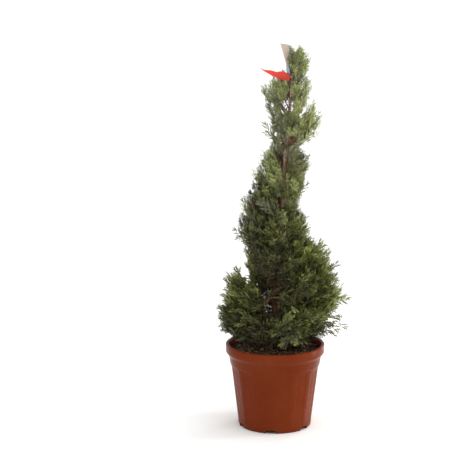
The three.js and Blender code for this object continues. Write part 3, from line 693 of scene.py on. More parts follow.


# Lit and shaded copies of one green, from deep painted shade to pale painted light. They also carry the
# sprays' own differences by chance and their lighter young tips. rust is the dead sprays' own colour. The
# high_ copies are paler and greyer: painted haze of light over the crown's upper part.
LEAF_TINTS = {
    "deep": (0.066, 0.055, 0.033),
    "shade": (0.086, 0.082, 0.037),
    "mid": (0.114, 0.125, 0.041),
    "lit": (0.168, 0.188, 0.055),
    "bright": (0.244, 0.277, 0.07),
    "pale": (0.362, 0.398, 0.124),
    "rust": (0.16, 0.088, 0.048),
    "high_deep": (0.135, 0.122, 0.088),
    "high_shade": (0.156, 0.155, 0.1),
    "high_mid": (0.19, 0.202, 0.11),
    "high_lit": (0.25, 0.276, 0.113),
    "high_bright": (0.338, 0.385, 0.122),
    "high_pale": (0.47, 0.525, 0.2),
    "high_rust": (0.21, 0.135, 0.095),
}
RUST = list(LEAF_TINTS).index("rust")
HIGH = list(LEAF_TINTS).index("high_deep")


def leaf_tints():
    return [principled("leaf_" + name, colour, 0.62, 0.35)[0] for name, colour in LEAF_TINTS.items()]


def twig_bark():
    return principled("twig_bark", (0.22, 0.12, 0.075), 0.85, 0.25)[0]


def label_print(name, colour):
    material, shader = principled(name, colour, 0.38)
    bump(material, shader, pattern(material, 60, detail=3), 0.1, 0.0006)
    return material


# Pot

def body_radius(z):
    return FOOT_RADIUS + BODY_SLOPE * z


def inner_radius(z):
    """The inside of the pot's wall, up to the collar."""
    share = rising(z, BODY_TOP, COLLAR_TOP - BODY_TOP)
    return mix(body_radius(np.minimum(z, BODY_TOP)), COLLAR_RADIUS, share) - WALL


def rounded(profile, radius, steps=3):
    """An outline of (r, z) with every corner between its two ends rounded."""
    points = [np.array(p) for p in profile]
    made = [points[0]]
    for before, corner, after in zip(points, points[1:], points[2:]):
        back, on = before - corner, after - corner
        room = min(radius, 0.4 * np.linalg.norm(back), 0.4 * np.linalg.norm(on))
        start, stop = corner + room * unit(back), corner + room * unit(on)
        for s in np.linspace(0, 1, steps):
            made.append((1 - s) ** 2 * start + 2 * s * (1 - s) * corner + s ** 2 * stop)
    made.append(points[-1])
    return np.array(made)


def pot_profile():
    top = BODY_TOP
    heights = [0.005, 0.012, 0.02, *np.linspace(0.034, top - 0.012, 30), top - 0.006, top - 0.003, top]
    channel, inside, outside = FOOT_BAND
    profile = [
        (0, 0), (PAD_RADIUS, 0), (PAD_RADIUS + CHANNEL_FLANK, CHANNEL_HEIGHT),
        (FOOT_RADIUS - channel, CHANNEL_HEIGHT), (FOOT_RADIUS - inside, 0), (FOOT_RADIUS - outside, 0),
        *[(body_radius(z), z) for z in heights], (body_radius(top) + LEDGE, top + LEDGE_RISE),
        (COLLAR_RADIUS, COLLAR_TOP), (RIM_RADIUS, RIM_FACE_BOTTOM), (RIM_RADIUS, POT_HEIGHT),
        (RIM_INNER_RADIUS, POT_HEIGHT), (inner_radius(COLLAR_TOP), COLLAR_TOP), (inner_radius(top), top),
        (inner_radius(FLOOR_TOP), FLOOR_TOP), (0, FLOOR_TOP),
    ]
    return rounded(profile, EDGE_ROUNDING)


def pot_angles():
    """The columns of the pot's wall, with one at each corner of each notch."""
    corners = [
        NOTCH_PHASE + k * TURN / NOTCHES + side * width / 2 / FOOT_RADIUS
        for k in range(NOTCHES) for width in (NOTCH_WIDTH, NOTCH_TOP_WIDTH) for side in (-1, 1)
    ]
    angles = np.sort(np.concatenate([angles_round(POT_FLUTES * FLUTE_COLUMNS), np.mod(corners, TURN)]))
    return angles[np.append(True, np.diff(angles) > 0.001)]


def flute_depth(angle, z):
    """How far the body's panels lie behind its ridges."""
    flute = (angle - FLUTE_PHASE) / TURN * POT_FLUTES
    off = np.abs(flute - np.round(flute))
    flank = rising(off, RIDGE_HALF, RIDGE_FLANK)
    panel = flank * flank * (3 - 2 * flank)
    arch = BODY_TOP - ARCH_SPRING - ARCH_HEIGHT * (2 * off - 1) ** 2
    fade = rising(arch - z, 0, ARCH_FADE) * rising(z, FLUTE_START, FLUTE_FADE)
    return FLUTE_DEPTH * panel * fade


def notch_height(angle):
    """The height to which the foot is cut away."""
    step = TURN / NOTCHES
    off = (angle - NOTCH_PHASE + step / 2) % step - step / 2
    flank = (NOTCH_WIDTH / 2 - np.abs(off) * FOOT_RADIUS) / ((NOTCH_WIDTH - NOTCH_TOP_WIDTH) / 2)
    return NOTCH_HEIGHT * np.clip(flank, 0, 1)


def turned(name, corners, material, node):
    """A smooth piece from rings of corners, closed all round and welded at the axis."""
    rings, columns = corners.shape[:2]
    i, j = np.meshgrid(columns * np.arange(rings - 1), np.arange(columns), indexing="ij")
    k = (j + 1) % columns
    faces = np.stack([i + j, i + k, i + columns + k, i + columns + j], axis=-1)
    made = piece(name, corners, faces, [material], smooth=True, node=node)
    clean(made)
    return made


def make_pot(material):
    profile = pot_profile()
    r, angle = np.meshgrid(profile[:, 0], pot_angles(), indexing="ij")
    z = np.broadcast_to(profile[:, 1:], r.shape)
    on_body = (z > FLUTE_START) & (z < BODY_TOP) & (r > body_radius(z) - OUTSIDE_SLACK)
    r = np.where(on_body, r - flute_depth(angle, z), r)
    on_foot = (r > FOOT_INSIDE) & (z < NOTCH_HEIGHT)
    lifted = np.where(on_foot, np.maximum(z, notch_height(angle)), z)
    cut = (r > FOOT_OUTSIDE) & (lifted > z)
    r = np.where(cut, body_radius(lifted) - (body_radius(z) - r) * NOTCH_LIP, r)
    made = turned("pot_shell", polar(r, angle, lifted), material, "pot")
    made.data.set_sharp_from_angle(angle=POT_SHARP)


def clean(made):
    """Welds the corners that meet at an axis and drops the faces that have no area."""
    work = bmesh.new()
    work.from_mesh(made.data)
    bmesh.ops.remove_doubles(work, verts=work.verts, dist=1e-6)
    bmesh.ops.dissolve_degenerate(work, edges=work.edges, dist=1e-7)
    bmesh.ops.recalc_face_normals(work, faces=work.faces)
    work.to_mesh(made.data)
    work.free()


# Soil

def wavy(x, y, scales, random):
    """A smooth relief, from -1 to 1, of waves in several sizes and all directions."""
    height = np.zeros_like(x)
    for scale in np.repeat(scales, WAVES_EACH):
        angle, phase = random.uniform(0, TURN, 2)
        height += np.sin((x * math.cos(angle) + y * math.sin(angle)) * TURN / scale + phase) * scale
    return height / (sum(scales) * WAVES_TOP)


def on_soil(r, angle, lift):
    """Points on the soil's relief, or a little over it."""
    random = np.random.default_rng(SEED + 40)
    points = polar(r, angle, 0)
    relief = SOIL_RELIEF * wavy(points[..., 0], points[..., 1], SOIL_WAVES, random)
    points[..., 2] = along(SOIL_CROWN, r) + np.maximum(rising(r, *CALM_MIDDLE), 0.15) * relief + lift
    return points


def make_soil(material):
    edge = inner_radius(SOIL_EDGE) - SOIL_GAP
    radius = edge * np.linspace(0, 1, SOIL_RINGS) ** RING_POWER
    angle = angles_round(SOIL_COLUMNS)
    floor = FLOOR_TOP + SOIL_LIFT
    walls = [polar(inner_radius(z) - SOIL_GAP, angle, z) for z in (COLLAR_TOP, BODY_TOP, floor)]
    rings = np.concatenate([on_soil(radius[:, None], angle, 0), walls, [polar(0, angle, floor)]])
    turned("soil_bed", rings, material, "soil")


CHIP_TINTS = {
    "chip_dark": (0.038, 0.024, 0.016),
    "chip_brown": (0.11, 0.06, 0.032),
    "chip_ochre": (0.3, 0.17, 0.065),
    "chip_tan": (0.42, 0.29, 0.17),
}


def make_chips():
    """Bark chips and splinters that lie on the soil, lighter at the front left."""
    random = np.random.default_rng(SEED + 41)
    edge = inner_radius(SOIL_EDGE) - CHIP_MARGIN
    r = edge * np.sqrt(random.uniform(0.004, 1, CHIPS))
    angle = random.uniform(0, TURN, CHIPS)
    length = random.uniform(*CHIP_LENGTHS, CHIPS)
    length *= np.where(random.uniform(size=CHIPS) < LARGE_CHIPS, LARGER, 1)
    width = length * random.uniform(*CHIP_WIDTHS, CHIPS)
    thickness = length * random.uniform(*CHIP_THICKNESSES, CHIPS)
    block = np.array([(i, j, k) for k in (-1, 1) for j in (-1, 1) for i in (-1, 1)], float)
    quads = np.array([(0, 2, 3, 1), (4, 5, 7, 6), (0, 1, 5, 4), (2, 6, 7, 3), (0, 4, 6, 2), (1, 3, 7, 5)])
    halves = np.stack([length, width, thickness], axis=-1)
    local = block * halves[:, None] * random.uniform(*CHIP_CORNERS, (CHIPS, 8, 3))
    forward = unit(polar(1, 2 * angle + CHIP_SWIRL * r, random.normal(0, 0.25, CHIPS)))
    up = unit(np.stack([*random.normal(0, CHIP_TILT, (2, CHIPS)), np.ones(CHIPS)], axis=-1))
    side = unit(np.cross(up, forward))
    basis = np.stack([forward, side, np.cross(forward, side)], axis=1)
    centre = on_soil(r, angle, 0.4 * thickness)
    materials = [principled(name, colour, 0.9, 0.2)[0] for name, colour in CHIP_TINTS.items()]
    left = np.clip(0.5 - centre[:, :2] / 0.2, 0, 1).prod(axis=1)
    tint = np.digitize(random.uniform(size=CHIPS) + LIGHTER_LEFT * left, CHIP_STEPS)
    piece(
        "soil_chips", centre[:, None] + local @ basis, repeated(quads, 8, CHIPS), materials,
        index=np.repeat(tint, 6),
    )


def make_moss():
    """Small tufts of moss by the rim, as short blades."""
    random = np.random.default_rng(SEED + 42)
    clump = random.integers(0, MOSS_CLUMPS, MOSS_TUFTS)
    clump_angle = MOSS_SIDE + random.normal(0, 0.75, MOSS_CLUMPS)
    clump_r = random.uniform(*MOSS_RINGS, MOSS_CLUMPS)
    angle = clump_angle[clump] + random.normal(0, 0.07, MOSS_TUFTS)
    r = np.minimum(clump_r[clump] + random.normal(0, 0.006, MOSS_TUFTS), MOSS_EDGE)
    root = np.repeat(on_soil(r, angle, -MOSS_SUNK), MOSS_BLADES, axis=0)
    lean = unit(random.normal(0, 0.55, root.shape) + [0, 0, 1])
    length = random.uniform(*MOSS_LENGTHS, (len(root), 1))
    side = MOSS_HALF * unit(np.cross(lean, random.normal(size=root.shape)))
    corners = np.stack([root + side, root - side, root + lean * length], axis=1)
    material = principled("moss", (0.1, 0.115, 0.03), 0.9, 0.2)[0]
    piece("soil_moss", corners, np.arange(3 * len(root)).reshape(-1, 3), [material])


# Trunk and boughs

def shredded(angle, length, random, depth):
    """The relief of bark that lies in long shreds: a height for each angle and place along."""
    height = 0
    for waves, share in SHREDS:
        wander = random.uniform(0.6, 1.4, 2) * TURN / SHRED_LENGTHS
        phase = random.uniform(0, TURN, 3)
        drift = 1.3 * np.sin(length * wander[0] + phase[0]) + 0.6 * np.sin(length * wander[1] + phase[1])
        height = height + share * np.sin(waves * angle + phase[2] + drift)
    return depth * height / 2


def bark_tube(name, path, radius, sides, relief, material, node):
    """A stem or a bough, with its bark's relief as shares of the radius."""
    corners, faces = tubes(path, (radius[:, None] * (1 + relief))[None], sides)
    piece(name, corners, faces, [material], smooth=True, node=node)


def make_trunk(material):
    random = np.random.default_rng(SEED + 50)
    z = np.linspace(TRUNK_BASE, TRUNK_TIP, TRUNK_STEPS)
    path = trunk_axis(z)
    path[0, 2] -= TRUNK_SUNK
    relief = shredded(angles_round(TRUNK_SIDES), z[:, None], random, TRUNK_RELIEF)
    bark_tube("trunk_bark", path[None], trunk_radius(z), TRUNK_SIDES, relief, material, "trunk")


def branch_paths(turn, root, from_r, to_r, wander, steps, random):
    """Branches from the trunk outwards, each a little crooked, as (count, steps, 3)."""
    s = np.linspace(0, 1, steps)
    bend = random.normal(0, wander, (2, len(turn), 1)) * s * s
    wave = random.normal(0, wander * 0.35, (2, len(turn), 1)) * np.sin(TURN * s)
    aside, up = bend + wave
    return point_at(turn[:, None] + aside, root[:, None] + 0.25 * up, mix(from_r[:, None], to_r[:, None], s))


def bough(mass, material):
    """The mass's main branch with its bark, from inside the trunk to well inside the mass."""
    random = np.random.default_rng(SEED + 60)
    turn = np.array([mass.middle])
    root = np.array([mass.bough_root()])
    reach = reach_at(turn, root)
    path = branch_paths(turn, root, 0 * reach, BOUGH_SHARE * reach, BOUGH_WANDER, BOUGH_STEPS, random)
    s = np.linspace(0, 1, BOUGH_STEPS)
    thick = np.clip(reach / 0.11, 0.62, 1.1)
    radius = BOUGH_RADIUS * thick * (1 - BOUGH_TAPER * s) + BOUGH_FLARE * np.exp(-14 * s)
    relief = shredded(angles_round(BOUGH_SIDES), s[:, None] * 0.1, random, BOUGH_RELIEF)
    bark_tube("limb_" + mass.name, path, radius, BOUGH_SIDES, relief, material, "bough_" + mass.name)
    return path


# Foliage

def add_to(shape, corners, faces, marks):
    """Adds corners, faces and a mark for each face to a shape's three lists."""
    start = len(shape[0])
    shape[0].extend(corners)
    shape[1].extend([tuple(start + i for i in face) for face in faces])
    shape[2].extend(marks)


def finger(root, out, across, length):
    """A short blunt twiglet of scale leaves, as a kite's corners and triangles."""
    broad = root + 0.62 * length * out
    half = FINGER_HALF * across
    return [root, broad + half, root + length * out, broad - half], [(0, 1, 2), (0, 2, 3)]


def side_shoot(base, axis, side, normal, length, random):
    """A side shoot: a narrow blade with short blunt fingers down both edges, as corners, triangles
    and each triangle's share of the way to its tip."""
    half = SHOOT_HALF * (0.7 + 0.6 * min(1, length * 4)) * side
    shoulder = base + 0.72 * length * axis
    blade = [base - 0.5 * half, base + 0.5 * half, shoulder + half, base + length * axis, shoulder - half]
    shoot = (blade, [(0, 1, 2), (0, 2, 4), (4, 2, 3)], [0.3, 0.3, 0.9])
    pairs = max(2, int(round(length / FINGER_SPACING)))
    for k in range(pairs):
        for hand in (-1, 1):
            s = (k + 0.55 + 0.22 * hand) / pairs
            lean = math.radians(random.uniform(*FINGER_LEANS))
            out = unit(math.cos(lean) * axis + hand * math.sin(lean) * side + normal * random.normal(0, 0.22))
            reach = FINGER_LENGTH * (1 - 0.5 * s) * random.uniform(0.7, 1.25) * min(1, 0.45 + 2.5 * length)
            root = base + 0.9 * s * length * axis
            add_to(shoot, *finger(root, out, unit(np.cross(normal, out)), reach), [s, s])
    return shoot


def spray_shape(random):
    """One unit-long spray of scale leaves, from 0 to +Y: corners, triangles and how many tints each
    triangle is lighter than its spray. Shoots differ a little, and young tips are lighter."""
    forward = np.array([0.0, 1, 0])
    spray = ([], [], [])

    def add(shoot, y, step):
        corners, faces, shares = shoot
        add_to(spray, corners, faces, [step + (0.62 * share + 0.55 * y > YOUNG) for share in shares])

    curve = random.uniform(-STEM_CURVE, STEM_CURVE)
    for k in range(SHOOTS):
        y = 0.1 + 0.76 * (k / (SHOOTS - 1)) ** 0.95
        base = np.array([curve * math.sin(math.pi * y), y, 0])
        roll = (-1) ** k * math.radians(90) + random.normal(0, SHOOT_ROLL)
        outward = np.array([math.sin(roll), 0, math.cos(roll)])
        lean = math.radians(random.uniform(*SHOOT_LEANS))
        axis = math.cos(lean) * forward + math.sin(lean) * outward
        normal = unit(np.cross(axis, forward))
        length = (0.12 + 0.42 * (1 - y) ** 0.8 * min(1, 0.5 + 2.2 * y)) * random.uniform(0.65, 1.2)
        shoot = side_shoot(base, axis, np.cross(normal, axis), normal, length, random)
        add(shoot, y, random.choice([-1, 0, 1], p=SHOOT_STEPS))
    top = np.array([0, 0.8, 0])
    add(side_shoot(top, forward, np.array([1.0, 0, 0]), np.array([0, 0, 1.0]), 0.2, random), 0.9, 0)
    left = curve - 0.8 * STEM_HALF
    right = curve + 0.8 * STEM_HALF
    stem = [(-STEM_HALF, 0, 0), (STEM_HALF, 0, 0), (right, 0.5, 0.006), (left, 0.5, 0.006), (0, 0.93, 0)]
    add((stem, [(0, 1, 2), (0, 2, 3), (3, 2, 4)], [0, 0, 0]), 0, 0)
    return [np.array(values) for values in spray]


def spread(count, offset):
    """Points spread evenly over a unit cube, by a three-way golden ratio."""
    ratio = 1.2207440846057596
    steps = np.arange(1, count + 1)[:, None] + offset
    return np.modf(steps * np.array([1 / ratio, 1 / ratio ** 2, 1 / ratio ** 3]))[0]


def clump_of(tip, branches):
    """For each tip, the nearest branch, the direction from that branch's middle, and how far off its
    line the tip stands."""
    hubs = branches[:, -4]
    ends = branches[:, -1]
    axes = unit(ends - hubs)
    nearest = np.argmin(np.linalg.norm(tip[:, None] - ends[None], axis=-1), axis=1)
    from_hub = tip - hubs[nearest]
    off = np.linalg.norm(np.cross(from_hub, axes[nearest]), axis=-1)
    return nearest, unit(from_hub), off


def crown_height(z):
    """How high up the crown a height is, from 0 to 1."""
    return rising(z, SKIRT, along(CROWN_TOP, 0) - SKIRT)


def layer_sprays(mass, layer, branches, tones, random):
    """One layer of the mass's sprays: their tips, directions, facings, lengths, shares of the reach, how
    high they stand in the crown and in their band, and their tone: their clump's tone by chance, with painted
    shade between clumps."""
    inner, outer, amount = LAYERS[layer]
    count = int(amount * mass.shell_area() / SHELL_SPACING ** 2)
    places = spread(count, LAYER_SHIFT * layer + FIRST_POINT) + random.normal(0, 0.02, (count, 3))
    places = np.clip(places, 0, 1)
    height = crown_height(mass.level(mix(mass.start, mass.end, places[:, 0]), 0.8, places[:, 1]))
    stands = random.uniform(size=count) > THINNING * height
    height = height[stands]
    count = len(height)
    span, up, out = places[stands].T
    turn = mix(mass.start, mass.end, span)
    share = mix(inner, outer, out)
    root = mass.level(turn, share, up)
    reach = reach_at(turn, root)
    tip = point_at(turn, root, share * reach)
    outward = unit(tip - point_at(turn, root, 0.3 * reach * np.minimum(share, 0.8)))
    nearest, radiating, off = clump_of(tip, branches)
    between = np.minimum(1, off / CLUMP_HALF)
    if layer == 0:
        outward = unit(mix(outward, radiating, CLUMPING))
        tip = tip - (CREVICE * off * between)[:, None] * outward
    lean = random.uniform(-1, 1, (count, 3)) * SPRAY_SPREAD
    lean[:, 2] += SPRAY_UPTURN * np.sqrt(height)
    around = polar(1, TURN * (turn + 0.25), 0)
    lean += random.uniform(-SPRAY_SWIRL, SPRAY_SWIRL, (count, 1)) * around
    direction = unit(outward + lean)
    facing = unit(np.cross(around, direction))
    facing = unit(facing + random.uniform(-SPRAY_TURN, SPRAY_TURN, (count, 1)) * around)
    length = SPRAY_SHARE * reach * random.uniform(*SPRAY_LENGTHS, count)
    length = np.clip(length, SPRAY_SHORTEST, SPRAY_LONGEST)
    # Painted shade: sprays between clumps are darker.
    tone = tones[nearest] - CREVICE_SHADE * (between ** 2 - 0.4)
    return tip, direction, facing, length, share, height, (mass.tier + up) / mass.tiers, tone


def stray_sprays(mass, random):
    """The mass's strays, in the order of a layer's sprays."""
    rows = []
    for tip, way, length in STRAYS:
        if nearest_mass(np.array(tip)) != mass.name:
            continue
        way = unit(np.array(way))
        across = unit(np.cross(way, [0.1, 1, 0.1]))
        for back, aside in STRAY_SPRAYS:
            place = tip - way * length * back + across * length * aside
            direction = unit(way + 1.4 * aside * across)
            facing = unit(np.cross(direction, across) + random.normal(0, 0.3, 3))
            standing = [0.85, crown_height(tip[2]), 0.7, 0]
            rows.append([*place, *direction, *facing, length * (1 - 0.4 * back), *standing])
    table = np.array(rows).reshape(-1, 14)
    return table[:, 0:3], table[:, 3:6], table[:, 6:9], *table[:, 9:].T


def spray_places(mass, branches, random):
    """Where the mass's sprays stand: their feet and the rest of what layer_sprays tells of them."""
    tones = random.normal(0, CLUMP_TONE, len(branches))
    groups = [layer_sprays(mass, layer, branches, tones, random) for layer in range(len(LAYERS))]
    groups.append(stray_sprays(mass, random))
    tip, direction, facing, length, *rest = [np.concatenate(values) for values in zip(*groups)]
    along_it = direction * length[:, None]
    aside_it = np.cross(direction, facing) * length[:, None]
    base = tip - along_it
    fits = in_band(tip, TIP_SLACK) & (tip[:, 0] > FURTHEST_LEFT)
    for y, aside in HELD_IN:
        fits &= in_band(base + y * along_it + aside * aside_it, MIDDLE_SLACK)
    stray = np.arange(len(tip)) >= len(tip) - len(groups[-1][0])
    sparse = seen_in(tip, [SPARSE_PLACE]) & (random.uniform(size=len(tip)) <= SPARSE_SHARE)
    hiding = np.any([in_a_gap(base + y * along_it) for y in SEEN_AT], axis=0)
    kept = (fits | stray) & ~sparse & ~hiding
    return [values[kept] for values in (base, direction, facing, length, *rest)]


def mass_branches(mass, random):
    """The branches that fill a mass, from the trunk outwards."""
    low, high = mass.level(mass.middle, 0.5, np.array([0, 1]))
    reach = float(reach_at(mass.middle, (low + high) / 2))
    around = max(2, int(0.5 * reach * TURN * (mass.end - mass.start) / BRANCH_SPACING))
    up = max(2, int((high - low) / BRANCH_SPACING) + 1)
    grid = np.array([((i + 0.5) / around, (j + 0.5) / up) for i in range(around) for j in range(up)])
    grid += random.uniform(-0.3, 0.3, grid.shape) / [around, up]
    turn = mix(mass.start, mass.end, grid[:, 0])
    root = mass.level(turn, 0.4, grid[:, 1])
    start = 0.6 * trunk_radius(root)
    end = BRANCH_SHARE * reach_at(turn, root)
    return branch_paths(turn, root, start, end, BRANCH_WANDER, BRANCH_STEPS, random)


def nearest_feet(base, branches):
    """For each spray, the point of a branch that its twig leaves from, and the branch's direction there."""
    points = branches[:, 1:].reshape(-1, 3)
    forward = unit(np.diff(branches, axis=1)).reshape(-1, 3)
    out, base_out = place_of(points)[2], place_of(base)[2]
    gap = np.linalg.norm(base[:, None] - points[None], axis=-1)
    gap += TWIG_DETOUR * np.maximum(0, out[None] + 0.01 - base_out[:, None])
    best = np.argmin(gap, axis=1)
    return points[best], forward[best]


def twig_paths(feet, forward, base, direction):
    """Twigs from their feet to the sprays, each leaving along its branch and arriving along its spray."""
    handle = TWIG_BEND * np.linalg.norm(base - feet, axis=1)[:, None]
    points = [feet, feet + handle * forward, base - handle * direction, base]
    s = np.linspace(0, 1, TWIG_STEPS)[None, :, None]
    weights = [(1 - s) ** 3, 3 * s * (1 - s) ** 2, 3 * s * s * (1 - s), s ** 3]
    return sum(weight * point[:, None] for weight, point in zip(weights, points))


def placed(shape, base, direction, facing, length, bend):
    """Copies of a shape: its +Y along direction, its +Z towards facing, bent towards facing."""
    x = unit(np.cross(direction, facing))
    basis = np.stack([x, direction, np.cross(x, direction)], axis=1)
    local = np.broadcast_to(shape, (len(base), *shape.shape)).copy()
    local[:, :, 2] += bend[:, None] * local[:, :, 1] ** 2
    return base[:, None] + length[:, None, None] * (local @ basis)


def tint_of(middle, share, height, lift, tone, random):
    """Each spray's tint, and whether it takes the paler, greyer copies painted as haze over the crown's upper
    part. It is lighter the further out (painted shade inside), the higher it stands in the crown and in its
    band and on the right (painted light), and by chance; darker under the skirt (painted shade)."""
    x, z = middle[:, 0], middle[:, 2]
    # Painted shade inside the crown and under the skirt; painted light higher up, on each band's upper side
    # and on the right; the rest is by chance.
    inside = (2.9 - 1.4 * height) * (share - 0.58 - 0.2 * (1 - height) * (share < 0.5))
    light = 1.45 + inside + height + 1.5 * (lift - 0.5) + tone + random.normal(0, SPRAY_TONE, len(share))
    darker, below, over = SKIRT_SHADE
    light -= darker * rising(below - z, 0, over)
    for lighter, x_from, x_over, z_from, z_over in SUNNY:
        light += lighter * rising(x, x_from, x_over) * rising(z, z_from, z_over)
    tint = np.clip(np.floor(light), 0, RUST - 2).astype(int)
    dead = random.uniform(size=len(share)) < np.where(share < 0.66, 0.45 - 0.3 * height, OUTER_RUST)
    painted_haze = random.uniform(size=len(share)) < rising(z, *PAINTED_HAZE)
    return np.where(dead, RUST, tint), painted_haze


def make_twigs(mass, branches, limb_path, base, direction, brown):
    """The mass's branches, and a twig to each spray from a branch or the bough."""
    reach = np.linalg.norm(branches[:, -1] - branches[:, 0], axis=1)
    thick = np.clip(reach / 0.08, 0.7, 1.2)[:, None]
    radii = thick * np.linspace(BRANCH_RADIUS, BRANCH_TIP_RADIUS, BRANCH_STEPS)
    along_bough = np.linspace(0, BOUGH_STEPS - 1, BRANCH_STEPS).round().astype(int)
    feet, forward = nearest_feet(base, np.concatenate([branches, limb_path[:, along_bough]]))
    twigs = twig_paths(feet, forward, base, direction)
    twig_radii = np.broadcast_to(np.linspace(TWIG_RADIUS, TWIG_TIP_RADIUS, TWIG_STEPS), twigs.shape[:2])
    corners, faces = join([tubes(branches, radii, BRANCH_SIDES), tubes(twigs, twig_radii, 3)])
    piece("twigs_" + mass.name, corners, faces, [brown])


def make_leaves(mass, shapes, greens, sprays, random):
    """The mass's sprays, each a copy of one of a few shapes."""
    base, direction, facing, length, *standing = sprays
    tint, painted_haze = tint_of(base + 0.5 * length[:, None] * direction, *standing, random)
    kind = random.integers(0, len(shapes), len(base))
    bend = random.normal(0, SPRAY_BEND, len(base))
    parts, tints = [], []
    for i, (shape, triangles, steps) in enumerate(shapes):
        mine = kind == i
        copies = placed(shape, base[mine], direction[mine], facing[mine], length[mine], bend[mine])
        parts.append((copies.reshape(-1, 3), repeated(triangles, len(shape), len(copies))))
        own = tint[mine][:, None]
        stepped = np.where(own == RUST, RUST, np.clip(own + steps, 0, RUST - 1))
        # Painted haze: these sprays take the paler, greyer high_ copies of their tints.
        tints.append((stepped + HIGH * painted_haze[mine][:, None]).ravel())
    corners, faces = join(parts)
    kept = ~in_a_gap(corners[faces].mean(axis=1))
    piece(
        "leaves_" + mass.name, corners, faces[kept], greens,
        index=np.concatenate(tints)[kept], node="foliage_" + mass.name,
    )


def make_mass(mass, k, shapes, greens, brown, limb_path):
    random = np.random.default_rng(SEED + 100 + k)
    branches = mass_branches(mass, random)
    sprays = spray_places(mass, branches, random)
    make_twigs(mass, branches, limb_path, sprays[0], sprays[1], brown)
    make_leaves(mass, shapes, greens, sprays, random)


# Label: a blank strap, folded and looped on the stem near its tip. (x, z) from the stem there.
LABEL_HEIGHT = 1.022
LABEL_THICKNESS = 0.0008
LABEL_GAP = 0.0003
LABEL_CUTS = 5
LABEL_WAVES = (95, 40)  # how fast its waves run along x and along z
FLAT_HALF = 0.03  # the waves fade out within this distance of the stem
LABEL_SHARP = math.radians(40)
LABEL_COLOURS = {
    "label_red": (0.9, 0.062, 0.035),
    "label_blue": (0.42, 0.68, 0.92),
    "label_back": (0.64, 0.51, 0.42),
}
LABEL_PANELS = {
    "label_flag": dict(
        outline=[
            (-0.096, 0.018), (-0.088, 0.0135), (-0.08, 0.011), (-0.06, 0.009), (-0.046, 0.004),
            (-0.038, 0.0055), (-0.028, 0.007), (-0.018, 0.002), (-0.009, -0.006), (-0.008, -0.014),
            (-0.011, -0.021), (-0.022, -0.0195), (-0.035, -0.017), (-0.049, -0.0115), (-0.063, -0.004),
            (-0.08, 0.006),
        ],
        lean=0.12, back=0, wave=0.0022, slot="label_red",
    ),
    "label_fold": dict(
        outline=[(-0.013, 0.023), (-0.02, 0.011), (-0.0085, -0.005), (-0.009, 0.009)],
        lean=0, back=0, wave=0.0008, slot="label_blue",
    ),
    "label_card": dict(
        outline=[
            (-0.036, 0.084), (-0.01, 0.08), (-0.009, 0.063), (-0.014, 0.038), (-0.0145, 0.011),
            (-0.0175, 0.012), (-0.0195, 0.036),
        ],
        lean=0, back=0.0011, wave=0.0015, slot="label_back",
    ),
    "label_tail": dict(
        outline=[(-0.008, -0.0055), (-0.008, -0.0095), (0.012, -0.022), (0.013, -0.019)],
        lean=0, back=0, wave=0.0006, slot="label_back",
    ),
}


def make_label(finishes):
    in_front = trunk_radius(LABEL_HEIGHT) + LABEL_GAP
    place = Matrix.Translation(trunk_axis(LABEL_HEIGHT) - [0, in_front, 0])
    for name, panel in LABEL_PANELS.items():
        work = bmesh.new()
        face = work.faces.new([work.verts.new((x, 0, z)) for x, z in panel["outline"]])
        bmesh.ops.triangulate(work, faces=[face])
        bmesh.ops.subdivide_edges(work, edges=work.edges, cuts=LABEL_CUTS, use_grid_fill=True)
        for v in work.verts:
            crest = math.sin(v.co.x * LABEL_WAVES[0] + v.co.z * LABEL_WAVES[1])
            v.co.y = panel["wave"] * crest * min(1, abs(v.co.x) / FLAT_HALF)
        bmesh.ops.solidify(work, geom=work.faces, thickness=LABEL_THICKNESS)
        bmesh.ops.recalc_face_normals(work, faces=work.faces)
        behind = Matrix.Translation((0, panel["back"], 0))
        work.transform(place @ Matrix.Rotation(panel["lean"], 4, "Z") @ behind)
        mesh = bpy.data.meshes.new(name + "_sheet")
        work.to_mesh(mesh)
        work.free()
        mesh.materials.append(finishes[panel["slot"]])
        mesh.shade_smooth()
        mesh.set_sharp_from_angle(angle=LABEL_SHARP)
        add_to_plant(name + "_sheet", mesh, name)


# Stage, light and camera

WORLD_LIGHT = 0.68
FLOOR_RADIUS = 60


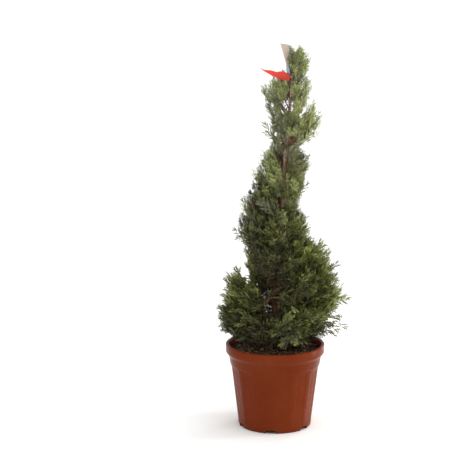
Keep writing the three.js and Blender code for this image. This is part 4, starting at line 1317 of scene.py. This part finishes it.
def make_stage():
    bpy.ops.mesh.primitive_circle_add(vertices=96, radius=FLOOR_RADIUS, fill_type="NGON")
    floor = bpy.context.object
    floor.name = "floor"
    floor.data.materials.append(principled("floor_white", (0.86, 0.86, 0.85), 0.9, 0.2)[0])
    world = bpy.data.worlds.new("studio")
    bpy.context.scene.world = world
    world.use_nodes = True
    background = world.node_tree.nodes["Background"]
    background.inputs["Color"].default_value = (1, 1, 1, 1)
    background.inputs["Strength"].default_value = WORLD_LIGHT


def lamp(name, kind, power, place, towards, **settings):
    light = bpy.data.lights.new(name, kind)
    light.energy = power
    for setting, value in settings.items():
        setattr(light, setting, value)
    made = add_object(name, light)
    made.location = place
    made.rotation_euler = Vector(towards).to_track_quat("-Z", "Y").to_euler()


def softbox(name, place, target, size, power, colour=(1, 1, 1)):
    towards = Vector(target) - Vector(place)
    lamp(name, "AREA", power, place, towards, shape="RECTANGLE", size=size[0], size_y=size[1], color=colour)


def make_lights():
    lamp("overhead", "SUN", 2.1, (0, 0, 0), (-0.2, 0.18, -1), angle=math.radians(80))
    softbox("right_window", (1.3, 0.15, 0.45), (0.05, 0, 0.3), (0.1, 1.3), 9, (1, 0.9, 0.8))
    softbox("right_rim", (0.9, 1.15, 0.5), (0.05, 0, 0.4), (0.4, 1.5), 8)
    softbox("left_rim", (-0.85, 1.25, 0.5), (-0.05, 0, 0.4), (0.35, 1.5), 2)


def make_camera():
    data = bpy.data.cameras.new("camera")
    data.sensor_width = CAMERA_SENSOR
    data.lens = CAMERA_LENS
    data.clip_end = CAMERA_FAR
    camera = add_object("camera", data)
    camera.location = CAMERA_PLACE
    camera.rotation_euler = (CAMERA_PITCH, 0, 0)
    bpy.context.scene.camera = camera


def make_plant():
    bark_finish, brown, greens = bark(), twig_bark(), leaf_tints()
    make_trunk(bark_finish)
    random = np.random.default_rng(SEED)
    shapes = [spray_shape(random) for _ in range(SPRAY_KINDS)]
    for k, mass in enumerate(masses()):
        make_mass(mass, k, shapes, greens, brown, bough(mass, bark_finish))


make_camera()
make_stage()
make_lights()
make_pot(pot_plastic())
make_soil(potting_mix())
make_chips()
make_moss()
make_plant()
make_label({name: label_print(name, colour) for name, colour in LABEL_COLOURS.items()})
bpy.context.scene.view_settings.view_transform = "Standard"
